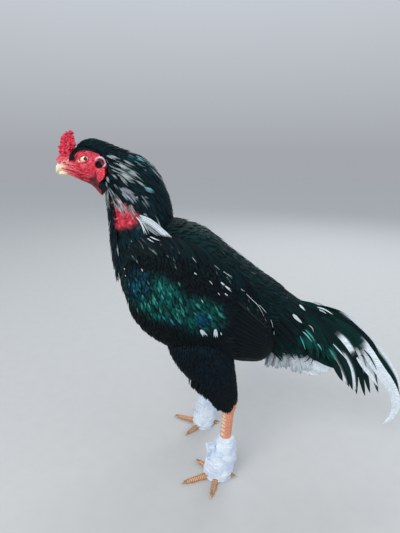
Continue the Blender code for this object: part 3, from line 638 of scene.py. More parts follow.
hide = fused("skin", flesh)
one_finish(hide, skin)
points = points_of(hide)
x, y, z = points.T
RED, PALE_RED, DEEP_RED = (
    np.array(c) for c in ((0.66, 0.015, 0.048), (0.90, 0.13, 0.19), (0.22, 0.004, 0.014))
)
UNDERCOAT = np.array((0.010, 0.012, 0.014))
to_edge, on_face, before_ear = face_distance(points), x < FACE_BACK, x < -168
bare = rise(to_edge, -1.5, 0.5) * on_face
patch = (1 - rise(crop_distance(points), 0.92, 1.12)) * (abs(y) > 9)
blush = grain_of(points, 7, 3, 5.0) * 0.5 + 0.5
from_eye = np.hypot(x - EYE[0], (z - EYE[2]) * 1.2)
# Paler in blotches, and in a ring round the eye that is a painted highlight.
pale = np.clip(rise(blush, 0.45, 1.0) * 0.6 + 0.45 * np.exp(-(((from_eye - 10.5) / 2.5) ** 2)), 0, 1)
dark_and_crease_shade = rise(552 - z, -12, 12) * 0.8 + rise(0.42 - blush, 0, 0.3) * 0.55
_, rings, folds = face_folds(points)
# Painted shade in the hollows of the folds round the eye and of the creases from the gape, and painted
# highlights on their crests.
dark_and_crease_shade += (rise(-rings, 0.1, 0.9) * 0.5 + rise(-folds, 0.05, 0.8) * 0.6) * before_ear
pale += (rise(rings, 0.2, 1.0) * 0.35 + rise(folds, 0.2, 0.9) * 0.35) * before_ear
# Painted highlights on the tops of the pimples.
pale += 0.5 * (1 - rise(cells_of(points, PIMPLE), 0.12, 0.38)) * rise(blush, 0.3, 0.6)
pale = np.clip(pale, 0, 1)
# On the crop patch: painted shade in the hollows of the creases and painted highlights on their crests, with
# darker and paler blotches.
creases = crop_creases(points, grain_of(points, 8, 2, 1.0))
dark_and_crease_shade = np.where(on_face, dark_and_crease_shade, rise(-creases, 0.0, 0.9) * 0.8 + rise(0.42 - blush, 0, 0.2) * 0.7)
crop_pale_and_highlight = np.clip(pale * 0.6 + rise(creases, 0.2, 1.0) * rise(blush, 0.42, 0.62), 0, 1)
tones = mix(RED, PALE_RED, np.where(on_face, pale, crop_pale_and_highlight))
tones = mix(tones, DEEP_RED, np.clip(dark_and_crease_shade, 0, 0.9))
from_ring = np.hypot(x - EAR_RING[0], z - EAR_RING[1])
ring = np.exp(-(((from_ring - EAR_RING[2]) / 1.9) ** 2)) * rise(x + 0.9 * z, 352, 362)
gape = rise(-x, 206, 222) * (abs(y) > 3) * (z < 584)
nape = np.exp(-(((x + 163) / 11) ** 2)) * (1 - rise(abs(to_edge + 2.2), 0.6, 3.0)) * rise(z, 588, 592)
# The ear's hole is painted black, a painted shade in its hollow; the other rows are the dark red inside the
# hoop, the pale hoop, the pink gape and the lavender nape.
for colour, share in (
    ((0.16, 0.02, 0.05), (1 - rise(from_ring, 4.5, 6.8)) * 0.85),
    ((0.88, 0.60, 0.66), ring * 0.95),
    ((0.012, 0.008, 0.009), 1 - rise(ear_distance(x, z), 3.8, 5.4)),
    ((0.92, 0.34, 0.36), gape * (0.35 + 0.4 * rise(blush, 0.4, 0.7))),
    ((0.40, 0.20, 0.34), nape * 0.75),
):
    tones = mix(tones, colour, share)
for colour, middle_x, middle_z, half_x, half_z, slant_x, slant_z, inner, outer, strength in FACE_PATCHES:
    u, w = x - middle_x, z - middle_z
    away = np.hypot((u + slant_x * w) / half_x, (w + slant_z * u) / half_z)
    tones = mix(tones, colour, (1 - rise(away, inner, outer)) * strength)
store_colour(hide, "skin_colour", mix(UNDERCOAT, tones, np.clip(bare + patch, 0, 1)))
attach(hide, "root")
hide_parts("head", "neck", "torso", "thigh_left", "thigh_right", "wing_left", "wing_right")


# The plumage: every feather is a thin closed vane with a ridge for its shaft. Feathers stand in
# staggered rows on the body, follow its lie and overlap like tiles, each tip over the next root.
# On the neck and crown they are narrow, black with a blue-green gloss and streaked with white.
BLACK, GREEN, BLUE, WHITE, CYAN = (
    np.array(c) for c in (
        (0.0020, 0.0050, 0.0072), (0.006, 0.15, 0.125), (0.008, 0.10, 0.20), (0.72, 0.80, 0.86),
        (0.27, 0.68, 0.75),
    )
)
# White marks on the sides of the neck, seen from the side: middle x and z, half axes, slope, strength.
NECK_MARKS = (
    (-122, 562, 24, 13, -42, 0.40),
    (-154, 525, 14, 2.8, -76, 0.6),
    (-148, 534, 10, 2.5, -70, 0.4),
    (-95, 523, 13, 4.0, -25, 0.3),
)
# The broad white streaks of the hackle: x and z of both ends, half width, how white.
NECK_STREAKS = (
    (-149, 593.5, -133, 586, 2.6, 1),
    (-134, 581, -116, 570, 2, 0.95),
    (-117, 570, -99, 557, 2.3, 0.95),
    (-138, 574, -123, 567, 1.3, 0.6),
    (-128, 564, -107, 555, 2.7, 0.95),
    (-123, 585, -107, 576, 1.2, 0.75),
    (-131, 560, -117, 547, 1.7, 0.65),
    (-145, 566, -133, 555, 1.4, 0.5),
    (-105, 554, -91, 545, 1.4, 0.7),
    (-116, 539, -103, 531, 0.8, 0.45),
    (-153, 562, -149, 551, 1.6, 0.95),
    (-155, 551, -150, 542, 1.3, 0.55),
    (-153, 538, -152, 516, 1.3, 0.75),
    (-158, 530, -157, 513, 0.8, 0.6),
    (-142, 550, -135, 541, 1.2, 0.4),
    (-122, 557, -103, 548, 1.2, 0.4),
    (-148, 540, -136, 526, 1.2, 0.5),
    (-102, 579, -90, 573, 0.8, 0.3),
    (-120, 595, -109, 589, 0.9, 0.3),
    (-92, 523, -82, 513, 2.1, 0.2),
    (-93, 530, -83, 524, 1.2, 0.3),
    (-105, 529, -100, 526, 1.3, 0.6),
    (-92, 503, -87, 497, 1.2, 0.6),
    (-143, 522, -137, 507, 1.3, 0.7),
    (-136, 526, -126, 506, 1.4, 0.8),
    (-127, 518, -119, 503, 1.2, 0.6),
)
# Cyan streaks painted on as highlights of the gloss, in the same columns.
CYAN_GLINT_STREAKS = (
    (-106, 590.5, -92, 582, 1.9, 0.85),
    (-91, 582, -80, 574, 1.2, 0.45),
    (-92, 543, -78, 536, 2.6, 1.0),
)
GREY_MARK = ((-117, 530, 16, 7.0, -38, 1.0),)
# The cyan marks are painted highlights of the gloss.
CYAN_GLINT_MARKS = ((-84, 540, 9, 5.0, -30, 0.3), (-47, 476, 7, 3.6, -27, 0.8), (-104, 582, 14, 5, -30, 0.3))
SHAFT_MARKS = ((-131, 511, 16, 6.0, -62, 0.9), (-113, 505, 12, 8, -50, 0.35))
# Where the dark bristles stand: x, z, reach, distance from the mid-plane, their run in x and z, number.
BRISTLES = (
    (-167.5, 579.5, 3.6, 18.5, (3.4, -1.6), 70),
    (-212.5, 595, 3.2, 14.0, (2.0, -6.0), 40),
    (-163.5, 547, 6.0, 19.5, (3.5, -6.5), 110),
)
# How white the lance's feathers are, from its upper to its lower edge, and the points of both edges.
LANCE_WHITE = (0.9, 1.0, 0.6, 1.0, 1.0, 0.5, 1.0, 0.9, 0.45, 0.85, 0.25, 0.12, 0.5, 0.08, 0.35)
UPPER_LANCE = (
    (-98, -52.5, 501), (-84.8, -54, 496), (-72.2, -52.5, 487.2), (-59, -51.5, 475.4), (-44.5, -61.5, 465.5),
)
LOWER_LANCE = (
    (-89, -57.5, 486), (-84.2, -59, 481.3), (-79.3, -58.8, 476.4), (-74, -59.5, 472.1), (-68.5, -62, 468.2),
)
# The quills beside the lance: half width, how white, and the points of the left one.
QUILLS = (
    (1.3, 0.9, ((-103.8, -53, 498.3), (-97.5, -54.5, 491.4), (-92.4, -59.5, 480.5), (-90, -62.5, 470.5))),
    (1.1, 0.8, ((-102, -52.5, 496), (-95.5, -55.5, 488.5), (-89.6, -59.5, 477.3), (-85.7, -61.5, 469))),
    (1.0, 0.7, ((-100, -52.5, 499), (-94.5, -55, 492.4), (-87.2, -60, 481.6), (-82.1, -61.5, 470.5))),
    (0.9, 1.0, ((-81.1, -63, 467.7), (-72.1, -69.5, 465.3), (-64, -73, 462.7))),
    (0.8, 0.9, ((-85.2, -65.5, 465.7), (-79, -71, 462.9), (-73, -74.2, 460.5))),
)


def marks_at(points, marks):
    """Strength of the marks at each point, the same on both sides of the bird."""
    found = np.zeros(points.shape[:-1])
    for x, z, half_x, half_z, slope, strength in marks:
        cos, sin = math.cos(math.radians(slope)), math.sin(math.radians(slope))
        a, b = points[..., 0] - x, points[..., 2] - z
        away = np.hypot((a * cos + b * sin) / half_x, (b * cos - a * sin) / half_z)
        found = np.maximum(found, strength * (1 - rise(away, 0.6, 1.25)))
    return found


def roots(form, first, last, gap_along, gap_round, draw, angles=(-180, 180)):
    """Staggered places on the form, about evenly spaced in millimetres, as real feather rows are."""
    length = np.linalg.norm(np.diff(form.at(np.linspace(first, last, 60), 90), axis=0), axis=1).sum()
    rows = max(2, int(length / gap_along))
    every = np.linspace(*angles, 181)
    along, angle = [], []
    for i in range(rows):
        at = first + (last - first) * (i + 0.5) / rows
        edge = np.linalg.norm(np.diff(form.at(np.full(181, at), every), axis=0), axis=1)
        reach = np.concatenate([[0], np.cumsum(edge)])
        count = max(3, int(reach[-1] / gap_round))
        spot = (np.arange(count) + 0.5 * (i % 2) + draw.uniform(-0.28, 0.28, count)) / count
        angle.append(np.interp(spot % 1.0 * reach[-1], reach, every))
        along.append(at + draw.uniform(-0.3, 0.3, count) * (last - first) / rows)
    return np.clip(np.concatenate(along), 0.001, 0.999), np.concatenate(angle)


def lay(form, along, angle, heading, length, rows, sink, lift):
    """Feather middles over the form from their roots, along the heading, rising from sink to lift."""
    point, out = form.at(along, angle), form.out(along, angle)
    points, outs = [point], [out]
    step = length / (rows - 1)
    for _ in range(rows - 1):
        ahead, round_it = form.tangents(np.clip(along, 0, 1), angle)
        wish = heading(point, ahead)
        wish = unit(wish - out * (wish * out).sum(-1, keepdims=True))
        aa, rr, ar = (ahead**2).sum(-1), (round_it**2).sum(-1), (ahead * round_it).sum(-1)
        wa, wr = (wish * ahead).sum(-1) * step, (wish * round_it).sum(-1) * step
        spread = np.maximum(aa * rr - ar * ar, 1e-6)
        along = along + (wa * rr - wr * ar) / spread
        angle = angle + np.clip((wr * aa - wa * ar) / spread, -25, 25)
        inside = ((along <= 1) & (along >= 0))[:, None]
        point = np.where(inside, form.at(along, angle), point + wish * step[:, None])
        out = np.where(inside, form.out(along, angle), out)
        points.append(point)
        outs.append(out)
    points, outs = np.stack(points, 1), np.stack(outs, 1)
    t = np.linspace(0, 1, rows)
    height = np.asarray(sink)[..., None] * (1 - t) + np.asarray(lift)[..., None] * t
    return points + outs * height[..., None], outs


def outline(rows, blunt, quill=0.35):
    """Shares of the half width along a feather: lance-like at blunt 0, broad and round at 1."""
    t = np.linspace(0, 1, rows)
    web = quill + (1 - quill) * np.clip(t / 0.3, 0, 1) ** 0.7
    tip = (1 - np.clip((t - 0.3) / 0.7, 0, 1) ** (1.3 + 3.2 * blunt)) ** (0.9 - 0.35 * blunt)
    return np.maximum(web * tip, 0.05)


def vanes(paths, outs, half_width, shares, draw, thick=0.25, camber=0.12, columns=3, roll=4.0, fray=0.0):
    """Closed vanes along the paths, with what the paint and the finish need to know at each point."""
    count, rows = paths.shape[:2]
    ahead = unit(np.gradient(paths, axis=1))
    across = unit(np.cross(ahead, outs))
    outs = unit(np.cross(across, ahead))
    tilt = np.tan(np.radians(draw.normal(0, 1, count) * roll))[:, None, None]
    across, outs = unit(across + outs * tilt), unit(outs - across * tilt)
    spread = np.linspace(-1, 1, columns)
    ring = np.concatenate([spread, spread[-2:0:-1]])
    level = np.concatenate([1 - abs(spread), abs(spread[-2:0:-1]) - 1]) * thick
    edge = np.ones((count, rows, len(ring)))
    if fray:
        for column in (0, columns - 1):
            edge[:, 1:-1, column] -= fray * draw.uniform(0, 1, (count, rows - 2)) ** 2
    wide = (np.asarray(half_width, float).reshape(-1, 1) * shares)[..., None] * ring * edge
    height = level - camber * abs(wide) * abs(ring)
    points = paths[:, :, None] + across[:, :, None] * wide[..., None] + outs[:, :, None] * height[..., None]
    steps = np.linalg.norm(np.diff(paths, axis=1), axis=-1)
    run = np.concatenate([np.zeros((count, 1)), np.cumsum(steps, 1)], 1)
    return {
        "points": points,
        "wide": wide,
        "run": np.broadcast_to(run[..., None], wide.shape),
        "share": np.broadcast_to(np.linspace(0, 1, rows)[None, :, None], wide.shape),
        "ring": np.broadcast_to(ring, wide.shape),
        "seed": draw.uniform(0, 100, count),
        "columns": columns,
    }


def laid(form, along, angle, heading, length, half_width, rows, blunt, sink, lift, draw, **make):
    """Vanes of about this length and half width over the form. lift is the range of heights of their tips."""
    size = draw.uniform(*make.pop("size", (0.85, 1.15)), len(along))
    paths, outs = lay(form, along, angle, heading, length * size, rows, sink, draw.uniform(*lift, len(along)))
    return vanes(paths, outs, half_width * size, outline(rows, blunt), draw, **make)


def arched(root, over, tip, rows):
    """Feather middles that rise from their roots towards over and come down to their tips."""
    t = np.linspace(0, 1, rows)[None, :, None]
    return root[:, None] * (1 - t) ** 2 + 2 * over[:, None] * t * (1 - t) + tip[:, None] * t**2, t


def each(values):
    """One value for each feather, at all its points."""
    return values[:, None, None]


def black_tone(count, sheen, blue, strength, draw):
    """Black with this share of gloss, between green and a share of blue that is drawn for each feather."""
    return each(mix(BLACK, mix(GREEN, BLUE, draw.uniform(*blue, count)) * strength, sheen))


def dress(batches, batch, colour, gloss, place):
    """Adds the vanes with their colours, their share of gloss and their roots' places on the map."""
    batch["colour"] = np.broadcast_to(colour, batch["points"].shape)
    batch["gloss"], batch["place"] = gloss, place
    batches.append(batch)


def vane_faces(rows, columns):
    around = 2 * columns - 2
    i, j = np.meshgrid(np.arange(rows - 1), np.arange(around), indexing="ij")
    a, b = i * around + j, i * around + (j + 1) % around
    quads = np.stack([a, a + around, b + around, b], -1).reshape(-1, 4).tolist()
    corners = []
    for end, turn in ((0, 1), ((rows - 1) * around, -1)):
        for j in range(columns - 1):
            low = [(around - k) % around if k < columns - 1 else k for k in (j + 1, j)]
            face = [end + k for k in dict.fromkeys((j, j + 1, *low))][::turn]
            (quads if len(face) == 4 else corners).append(face)
    return [np.array(quads), np.array(corners)]


def coat_piece(name, batches, material, slot, *nodes):
    """One mesh of all the vanes, with its colours, gloss and the map for baking."""
    points, faces, offset = [], [[], []], 0
    marks = {"vane": [], "plumage": [], "gloss": [], "rim": [], "uv": []}
    for batch in batches:
        shape = batch["wide"].shape
        count, rows, around = shape
        starts = offset + np.arange(count) * rows * around
        for store_in, kind in zip(faces, vane_faces(rows, batch["columns"])):
            store_in.append((kind[None] + starts[:, None, None]).reshape(-1, kind.shape[1]))
        points.append(batch["points"].reshape(-1, 3))
        offset += count * rows * around
        seed = np.broadcast_to(each(batch["seed"]), shape)
        marks["vane"].append(np.stack([batch["wide"], batch["run"], seed], -1).reshape(-1, 3))
        marks["plumage"].append(np.clip(batch["colour"], 0, 1).reshape(-1, 3))
        marks["gloss"].append(np.broadcast_to(batch["gloss"], shape).ravel())
        rim = np.zeros(around, int)
        rim[0], rim[batch["columns"] - 1] = 1, 2
        marks["rim"].append(np.broadcast_to(rim, shape).ravel())
        spot = np.stack([batch["ring"] * 0.5, batch["share"] - 0.5], -1) * 0.003
        marks["uv"].append(np.clip(each(batch["place"]) + spot, 0.001, 0.999).reshape(-1, 2))
    points = np.vstack(points)
    made = mesh_piece(name, points, outward(points, [np.vstack(f) for f in faces]), material)
    store(made, "vane", np.vstack(marks["vane"]))
    store_colour(made, "plumage", np.vstack(marks["plumage"]))
    store(made, "gloss", np.concatenate(marks["gloss"]))
    ends = np.zeros(len(made.data.edges) * 2, np.int32)
    made.data.edges.foreach_get("vertices", ends)
    near, far = np.concatenate(marks["rim"])[ends.reshape(-1, 2)].T
    sharp = made.data.attributes.new("sharp_edge", "BOOLEAN", "EDGE")
    sharp.data.foreach_set("value", (near > 0) & (near == far))
    corner = np.zeros(len(made.data.loops), np.int32)
    made.data.loops.foreach_get("vertex_index", corner)
    unwrap = made.data.uv_layers.new(name="OFBake")
    unwrap.data.foreach_set("uv", np.vstack(marks["uv"])[corner].astype(np.float32).ravel())
    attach(made, "root")
    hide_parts(*nodes)


def spots(along, angle, left=0.0, right=1.0):
    """Roots on the flat unwrap of a form, in a band of the map from left to right."""
    turn = (angle / 360 + 0.5) % 1
    return np.stack([left + (right - left) * (0.02 + 0.96 * turn), 0.02 + 0.96 * along], -1)


def blended(nodes, share, a, b):
    return add_node(nodes, "Mix", data_type="RGBA", in_0=share, in_6=a, in_7=b).outputs[2]


def feather_finish(name, roughness, gloss_roughness):
    """Slanting barbs in colour and relief, a paler shaft, and metallic gloss where the feather has some."""
    made, nodes, shader = plain_material(name)

    def worked(operation, a, b=0.0):
        return add_node(nodes, "Math", operation=operation, in_0=a, in_1=b).outputs["Value"]

    colour = add_node(nodes, "Attribute", attribute_name="plumage").outputs["Color"]
    gloss = add_node(nodes, "Attribute", attribute_name="gloss").outputs["Fac"]
    vane = add_node(nodes, "Attribute", attribute_name="vane").outputs["Vector"]
    across, run, seed = add_node(nodes, "SeparateXYZ", Vector=vane).outputs
    aside = worked("ABSOLUTE", across)
    barb = worked("SUBTRACT", run, aside)
    barb_lines = worked("SINE", worked("MULTIPLY", barb, 5.5))
    slant = add_node(nodes, "CombineXYZ", X=barb, Y=worked("MULTIPLY", across, 0.12), Z=seed)
    clumps = add_node(nodes, "TexNoise", Scale=0.9, Detail=3.0, Vector=slant.outputs["Vector"]).outputs["Fac"]
    shade = ranged(nodes, clumps, 0.72, 1.28, 0.3, 0.7)
    shaft = ranged(nodes, aside, 0.35, 0.0, 0.12, 0.35)
    fill(
        shader,
        Base_Color=blended(nodes, shaft, scaled(nodes, colour, shade), (0.03, 0.035, 0.036, 1)),
        Metallic=gloss,
        Roughness=worked("MULTIPLY", ranged(nodes, gloss, roughness, gloss_roughness), shade),
        Normal=bumped(nodes, barb_lines, 0.45, 0.0002),
        Specular_IOR_Level=0.07,
    )
    return made


def on_body(form, share=1.0):
    """A test for points that lie within a form, taken as ellipses scaled by share."""

    def test(points):
        away = np.linalg.norm(points[:, None] - form.middles[None, ::4], axis=-1).argmin(1)
        gap, up, side = points - form.middles[::4][away], form.up[::4][away], form.side[::4][away]
        return np.hypot((gap * up).sum(1) / (up**2).sum(1), (gap * side).sum(1) / (side**2).sum(1)) < share

    return test


hackle_finish = feather_finish("hackle_feathers", 0.50, 0.36)
draw = np.random.default_rng(11)


def neck_heading(point, ahead):
    """Down the neck, swept back on its sides."""
    flank = rise(abs(point[:, 1]) / 30, 0.25, 0.9)[:, None]
    return unit(ahead) + flank * np.array((0.35, 0, 0.05))


batches = []
for first, last, gap_along, gap_round, length, half_width, sink, lift, rows in (
    (0.0, 0.28, 2.5, 2.3, 9.5, 1.5, -2.6, 0.5, 4),
    (0.22, 0.50, 4.0, 2.9, 20, 1.8, -4.0, 0.9, 5),
    (0.46, 0.74, 5.2, 3.3, 38, 2.1, -4.2, 1.4, 6),
    (0.70, 0.97, 7.4, 4.0, 56, 2.6, -3.6, 2.2, 7),
):
    along, angle = roots(neck_form, first, last, gap_along, gap_round, draw)
    at = neck_form.at(along, angle)
    tip_at = neck_form.at(np.minimum(along + length / 230 * 0.75, 0.99), angle)
    crop, middle = crop_distance(at), abs(at[:, 1]) <= 14
    keep = (face_distance(at) < -0.5) & (crop > 1.0) & ((crop_distance(tip_at) >= 0.55) | middle)
    keep &= (crop >= 1.05) | middle
    along, angle, crop = along[keep], angle[keep], crop[keep]
    reach = length * (0.45 + 0.55 * rise(crop, 1.0, 1.9)) * np.where(abs(angle) > 150, 0.6, 1.0)
    batch = laid(neck_form, along, angle, neck_heading, reach, half_width, rows, 0.15, sink,
                 (0.6 * lift, 1.3 * lift), draw)
    count = len(along)
    white = (draw.uniform(0, 1, count) < 0.012) * draw.uniform(0.3, 0.8, count)
    sheen = draw.uniform(0.05, 0.5, count) ** 1.5
    tone = black_tone(count, sheen, (0.3, 0.9), 0.55, draw)
    striped = np.clip(1.25 - abs(batch["ring"] - each(draw.uniform(-0.5, 0.5, count))), 0, 1)
    cover = each(white) * striped * rise(batch["share"], 0.05, 0.3)
    gloss = (0.55 * each(sheen) + 0.2) * (1 - cover)
    dress(batches, batch, mix(tone, WHITE, cover), gloss, spots(along, angle))


def marked_roots(marks, last, gap_along, gap_round, dense):
    """Roots of feathers on the neck where the marks want some, and how much they want them."""
    along, angle = roots(neck_form, 0.16, last, gap_along, gap_round, draw, (-150, 150))
    wanted = marks_at(neck_form.at(along, angle) + (4.5, 0, -5.5), marks)
    keep = draw.uniform(0, 1, len(along)) < wanted * dense
    return along[keep], angle[keep], wanted[keep]


# Slim white and grey feathers among them, close together where the neck looks streaked.
along, angle, wanted = marked_roots(NECK_MARKS, 0.86, 2.4, 2.3, 0.6)
keep = face_distance(neck_form.at(along, angle)) < -0.5
along, angle, wanted = along[keep], angle[keep], wanted[keep]
count = len(along)
paths, outs = lay(neck_form, along, angle, neck_heading, draw.uniform(9, 21, count), 6, 0.6,
                  draw.uniform(2.2, 3.4, count))
batch = vanes(paths, outs, draw.uniform(0.45, 0.95, count), outline(6, 0.1, 0.5), draw, roll=8)
cover = draw.uniform(0.1, 0.6, count) * (0.6 + 0.4 * wanted)
dress(batches, batch, each(mix(GREEN * 0.3, WHITE, cover)), 0.05, spots(along, angle))

# Soft grey feathers above the bare patch, cyan painted glints on the nape and shoulder, pale shafts over the
# patch.
for marks, tint, dense, widths, lengths in (
    (GREY_MARK, (0.46, 0.49, 0.58), 0.75, (0.6, 1.2), (10, 18)),
    (CYAN_GLINT_MARKS, (0.10, 0.42, 0.48), 0.45, (0.6, 1.0), (9, 15)),
    (SHAFT_MARKS, (0.80, 0.62, 0.66), 0.5, (0.5, 1.0), (10, 19)),
):
    along, angle, wanted = marked_roots(marks, 0.90, 2.6, 2.4, dense)
    count = len(along)
    paths, outs = lay(neck_form, along, angle, neck_heading, draw.uniform(*lengths, count), 6, 0.8,
                      draw.uniform(2.2, 3.6, count))
    batch = vanes(paths, outs, draw.uniform(*widths, count), outline(6, 0.1, 0.5), draw, roll=8, fray=0.15)
    cover = draw.uniform(0.3, 1.0, count) * (0.5 + 0.5 * wanted)
    tint = np.array(tint) * draw.uniform(0.7, 1.3, (count, 1))
    dress(batches, batch, each(mix(GREEN * 0.2, tint, cover)), 0.05, spots(along, angle))


def flat_grid(rows, columns):
    """Every pair of a value of the rows and one of the columns."""
    return (g.ravel() for g in np.meshgrid(rows, columns, indexing="ij"))


# The white streaks and the cyan painted glints: for each, a few slim feathers side by side on both sides of
# the neck.
wide_along, wide_angle = flat_grid(np.linspace(0.1, 0.98, 180), np.arange(-176, 177, 3.0))
surface, facing = neck_form.at(wide_along, wide_angle), neck_form.out(wide_along, wide_angle)
steps = np.arange(7)
for tint, streaks in ((WHITE, NECK_STREAKS), (CYAN, CYAN_GLINT_STREAKS)):
    for x0, z0, x1, z1, half_width, share in streaks:
        number = max(1, round(half_width / 0.6))
        start, run = np.array((x0, z0)), np.array((x1 - x0, z1 - z0))
        ahead = unit(run)
        for side in (-1, 1):
            hidden = 1000.0 * (side * surface[:, 1] < 3)
            for i in range(number):
                aside = np.array((-ahead[1], ahead[0])) * ((i + 0.5) / number * 2 - 1) * half_width
                aside = aside * draw.uniform(0.8, 1.1)
                first, last = draw.uniform(-0.2, 0.22), draw.uniform(0.72, 1.25)
                line = start + aside * 0.8 + run * np.linspace(first, last, 7)[:, None]
                line += aside * 0.5 * np.sin(steps * math.pi / 6)[:, None]
                gap = np.hypot(surface[:, 0] - line[:, :1], surface[:, 2] - line[:, 1:]) + hidden
                near = gap.argmin(1)
                depth = np.polyval(np.polyfit(steps, surface[near, 1], 2), steps)
                outs = unit(facing[near].mean(0)) + 0 * line[:, :1]
                height = np.linspace(2.2, 3.6 + draw.uniform(0, 0.6), 7)
                points = np.stack([line[:, 0], depth, line[:, 1]], 1) + outs * height[:, None]
                slim = half_width / number * draw.uniform(0.65, 1.0)
                batch = vanes(points[None], outs[None], slim, outline(7, 0.12, 0.3), draw, roll=6)
                tone = mix(GREEN * 0.3, tint, share * draw.uniform(0.78, 1.05))
                dress(batches, batch, tone, 0.05, spots(wide_along[near[:1]], wide_angle[near[:1]]))

# A fringe of very short feathers along the edge of the bare face, over the brow and behind the ear.
along, angle = roots(head_form, 0.1, 0.98, 1.5, 1.5, draw)
at = head_form.at(along, angle)
to_edge = face_distance(at)
keep = (to_edge < 0.8) & (to_edge > -9) & (at[:, 2] > 575)
along, angle, to_edge = along[keep], angle[keep], to_edge[keep]
count = len(along)
paths, outs = lay(head_form, along, angle, lambda point, ahead: np.array((1.0, 0, -0.05)) + 0 * point,
                  draw.uniform(3.0, 5.0, count), 4, -0.6, draw.uniform(0.7, 1.5, count))
paths = face_relief(paths.reshape(-1, 3), outs.reshape(-1, 3)).reshape(paths.shape)
batch = vanes(paths, outs, draw.uniform(0.7, 1.1, count), outline(4, 0.3, 0.5), draw, roll=10)
purple = (draw.uniform(0, 1, count) < 0.12) * rise(to_edge, -1.5, 0.5)
tone = mix(BLACK + GREEN * 0.1 * draw.uniform(0, 1, (count, 1)), (0.30, 0.13, 0.22), purple * 0.6)
dress(batches, batch, each(tone), 0.2, spots(along, angle))

# Dark bristles that fill the ear's hole, stand on the lore and close the gap below the lobe.
for side in (-1, 1):
    for x, z, reach, y, run, count in BRISTLES:
        turn, far = draw.uniform(0, 2 * math.pi, count), draw.uniform(0, 1, count) ** 0.5 * reach
        root = np.stack([x + far * np.cos(turn), np.full(count, side * y), z + far * np.sin(turn)], 1)
        lean_x, lean_z = draw.normal(0, 1.2, count), draw.normal(0, 1.2, count)
        tip = root + np.stack([run[0] + lean_x, np.full(count, side * 4.2), run[1] + lean_z], 1)
        t = np.linspace(0, 1, 5)[None, :, None]
        paths = root[:, None] * (1 - t) + tip[:, None] * t + np.array((0, side * 6.0, 0)) * t * (1 - t)
        outs = np.broadcast_to((0.0, float(side), 0.3), paths.shape)
        batch = vanes(paths, outs, draw.uniform(0.5, 1.0, count), outline(5, 0.1, 0.6), draw, roll=20)
        place = np.stack([0.5 + side * (0.1 + 0.05 * draw.uniform(0, 1, count)), np.full(count, 0.03)], 1)
        dress(batches, batch, GREEN * 0.05 + BLACK, 0.15, place)

# The white lances at the foot of the neck, which run together to a point over the shoulder, curved
# white quills in front of them and two small ones below.
for side in (-1, 1):
    share = np.linspace(0, 1, len(LANCE_WHITE))[:, None, None]
    upper, lower = smooth(UPPER_LANCE, 10), smooth(LOWER_LANCE, 10)
    paths = upper + (lower - upper) * share ** np.linspace(1, 1.4, 10)[:, None]
    group = [(paths, (-0.2, -1.0, 0.45), draw.uniform(1.1, 2.0, len(paths)), np.array(LANCE_WHITE))]
    for half_width, white, line in QUILLS:
        group.append((smooth(line, 10)[None], (-0.2, -1.0, 0.3), np.array([half_width]), np.array([white])))
    for paths, out, widths, white in group:
        turn = np.array((1, -side, 1))
        outs = np.broadcast_to(out * turn, paths.shape)
        batch = vanes(paths * turn, outs, widths, outline(10, 0.1, 0.5), draw)
        place = np.stack([0.5 + side * (0.20 + 0.01 * np.arange(len(widths)) / 15), 0.85 + 0 * widths], 1)
        dress(batches, batch, each(mix(BLACK, WHITE, white)), 0.05, place)
coat_piece("hackle", batches, hackle_finish, "hackle_feather", "neck")


# The trunk's coat: broad, rounded black feathers from the breast to the vent, each with a faint green sheen
# painted near its edge, and long narrow saddle feathers that fall from the back over the tail's root.
body_finish = feather_finish("body_feathers", 0.55, 0.38)
draw = np.random.default_rng(12)
within_wing = {
    side: on_body(Form(form.middles, form.up, form.side * 6), 0.8) for side, form in wing_forms.items()
}
within_neck = on_body(neck_form, 0.86)


def trunk_heading(point, ahead):
    """Back along the trunk, sinking a little on its sides."""
    flank = rise(abs(point[:, 1]) / 60, 0.3, 1.0)[:, None]
    return unit(ahead) + flank * np.array((0, 0, -0.3))


batches = []
for first, last, gap_along, gap_round, length, half_width, blunt in (
    (0.02, 0.30, 6.6, 6.4, 25, 5.2, 0.8),
    (0.26, 0.98, 8.6, 8.0, 33, 6.6, 0.75),
):
    along, angle = roots(torso_form, first, last, gap_along, gap_round, draw)
    at = torso_form.at(along, angle)
    under_wing = (within_wing["left"](at) & (at[:, 1] < 0)) | (within_wing["right"](at) & (at[:, 1] > 0))
    keep = ~under_wing & ~within_neck(at)
    along, angle = along[keep], angle[keep]
    batch = laid(torso_form, along, angle, trunk_heading, length, half_width, 5, blunt, -3.8,
                 (0.4, 1.6), draw, fray=0.2)
    sheen = draw.uniform(0.0, 0.35, len(along)) ** 1.4
    # A faint green sheen painted towards the tip of each feather.
    painted_rim_sheen = rise(batch["share"], 0.55, 0.95) * 0.21
    tone = mix(black_tone(len(along), sheen, (0, 0.5), 0.5, draw), GREEN * 0.35, painted_rim_sheen)
    dress(batches, batch, tone, 0.12 + 0.5 * each(sheen), spots(along, angle))

# Long narrow feathers of the saddle, a few of them flecked with white.
along, angle = roots(torso_form, 0.42, 0.97, 11, 5.2, draw, (-82, 82))
batch = laid(torso_form, along, angle, trunk_heading, 44 + 10 * rise(along, 0.5, 0.9), 3.1, 9, 0.15, -3.0,
             (0.6, 2.2), draw, size=(0.8, 1.1))
count = len(along)
sheen = draw.uniform(0.0, 0.6, count) ** 1.4
tone = black_tone(count, sheen, (0, 0.6), 0.35, draw)
flecks = (draw.uniform(0, 1, count) < 0.03) * 0.5
cover = each(flecks) * rise(batch["share"], 0.6, 0.9) * rise(batch["ring"], 0.1, 0.6)
dress(batches, batch, mix(tone, WHITE, cover), each(0.18 + 0.5 * sheen) * (1 - cover), spots(along, angle))

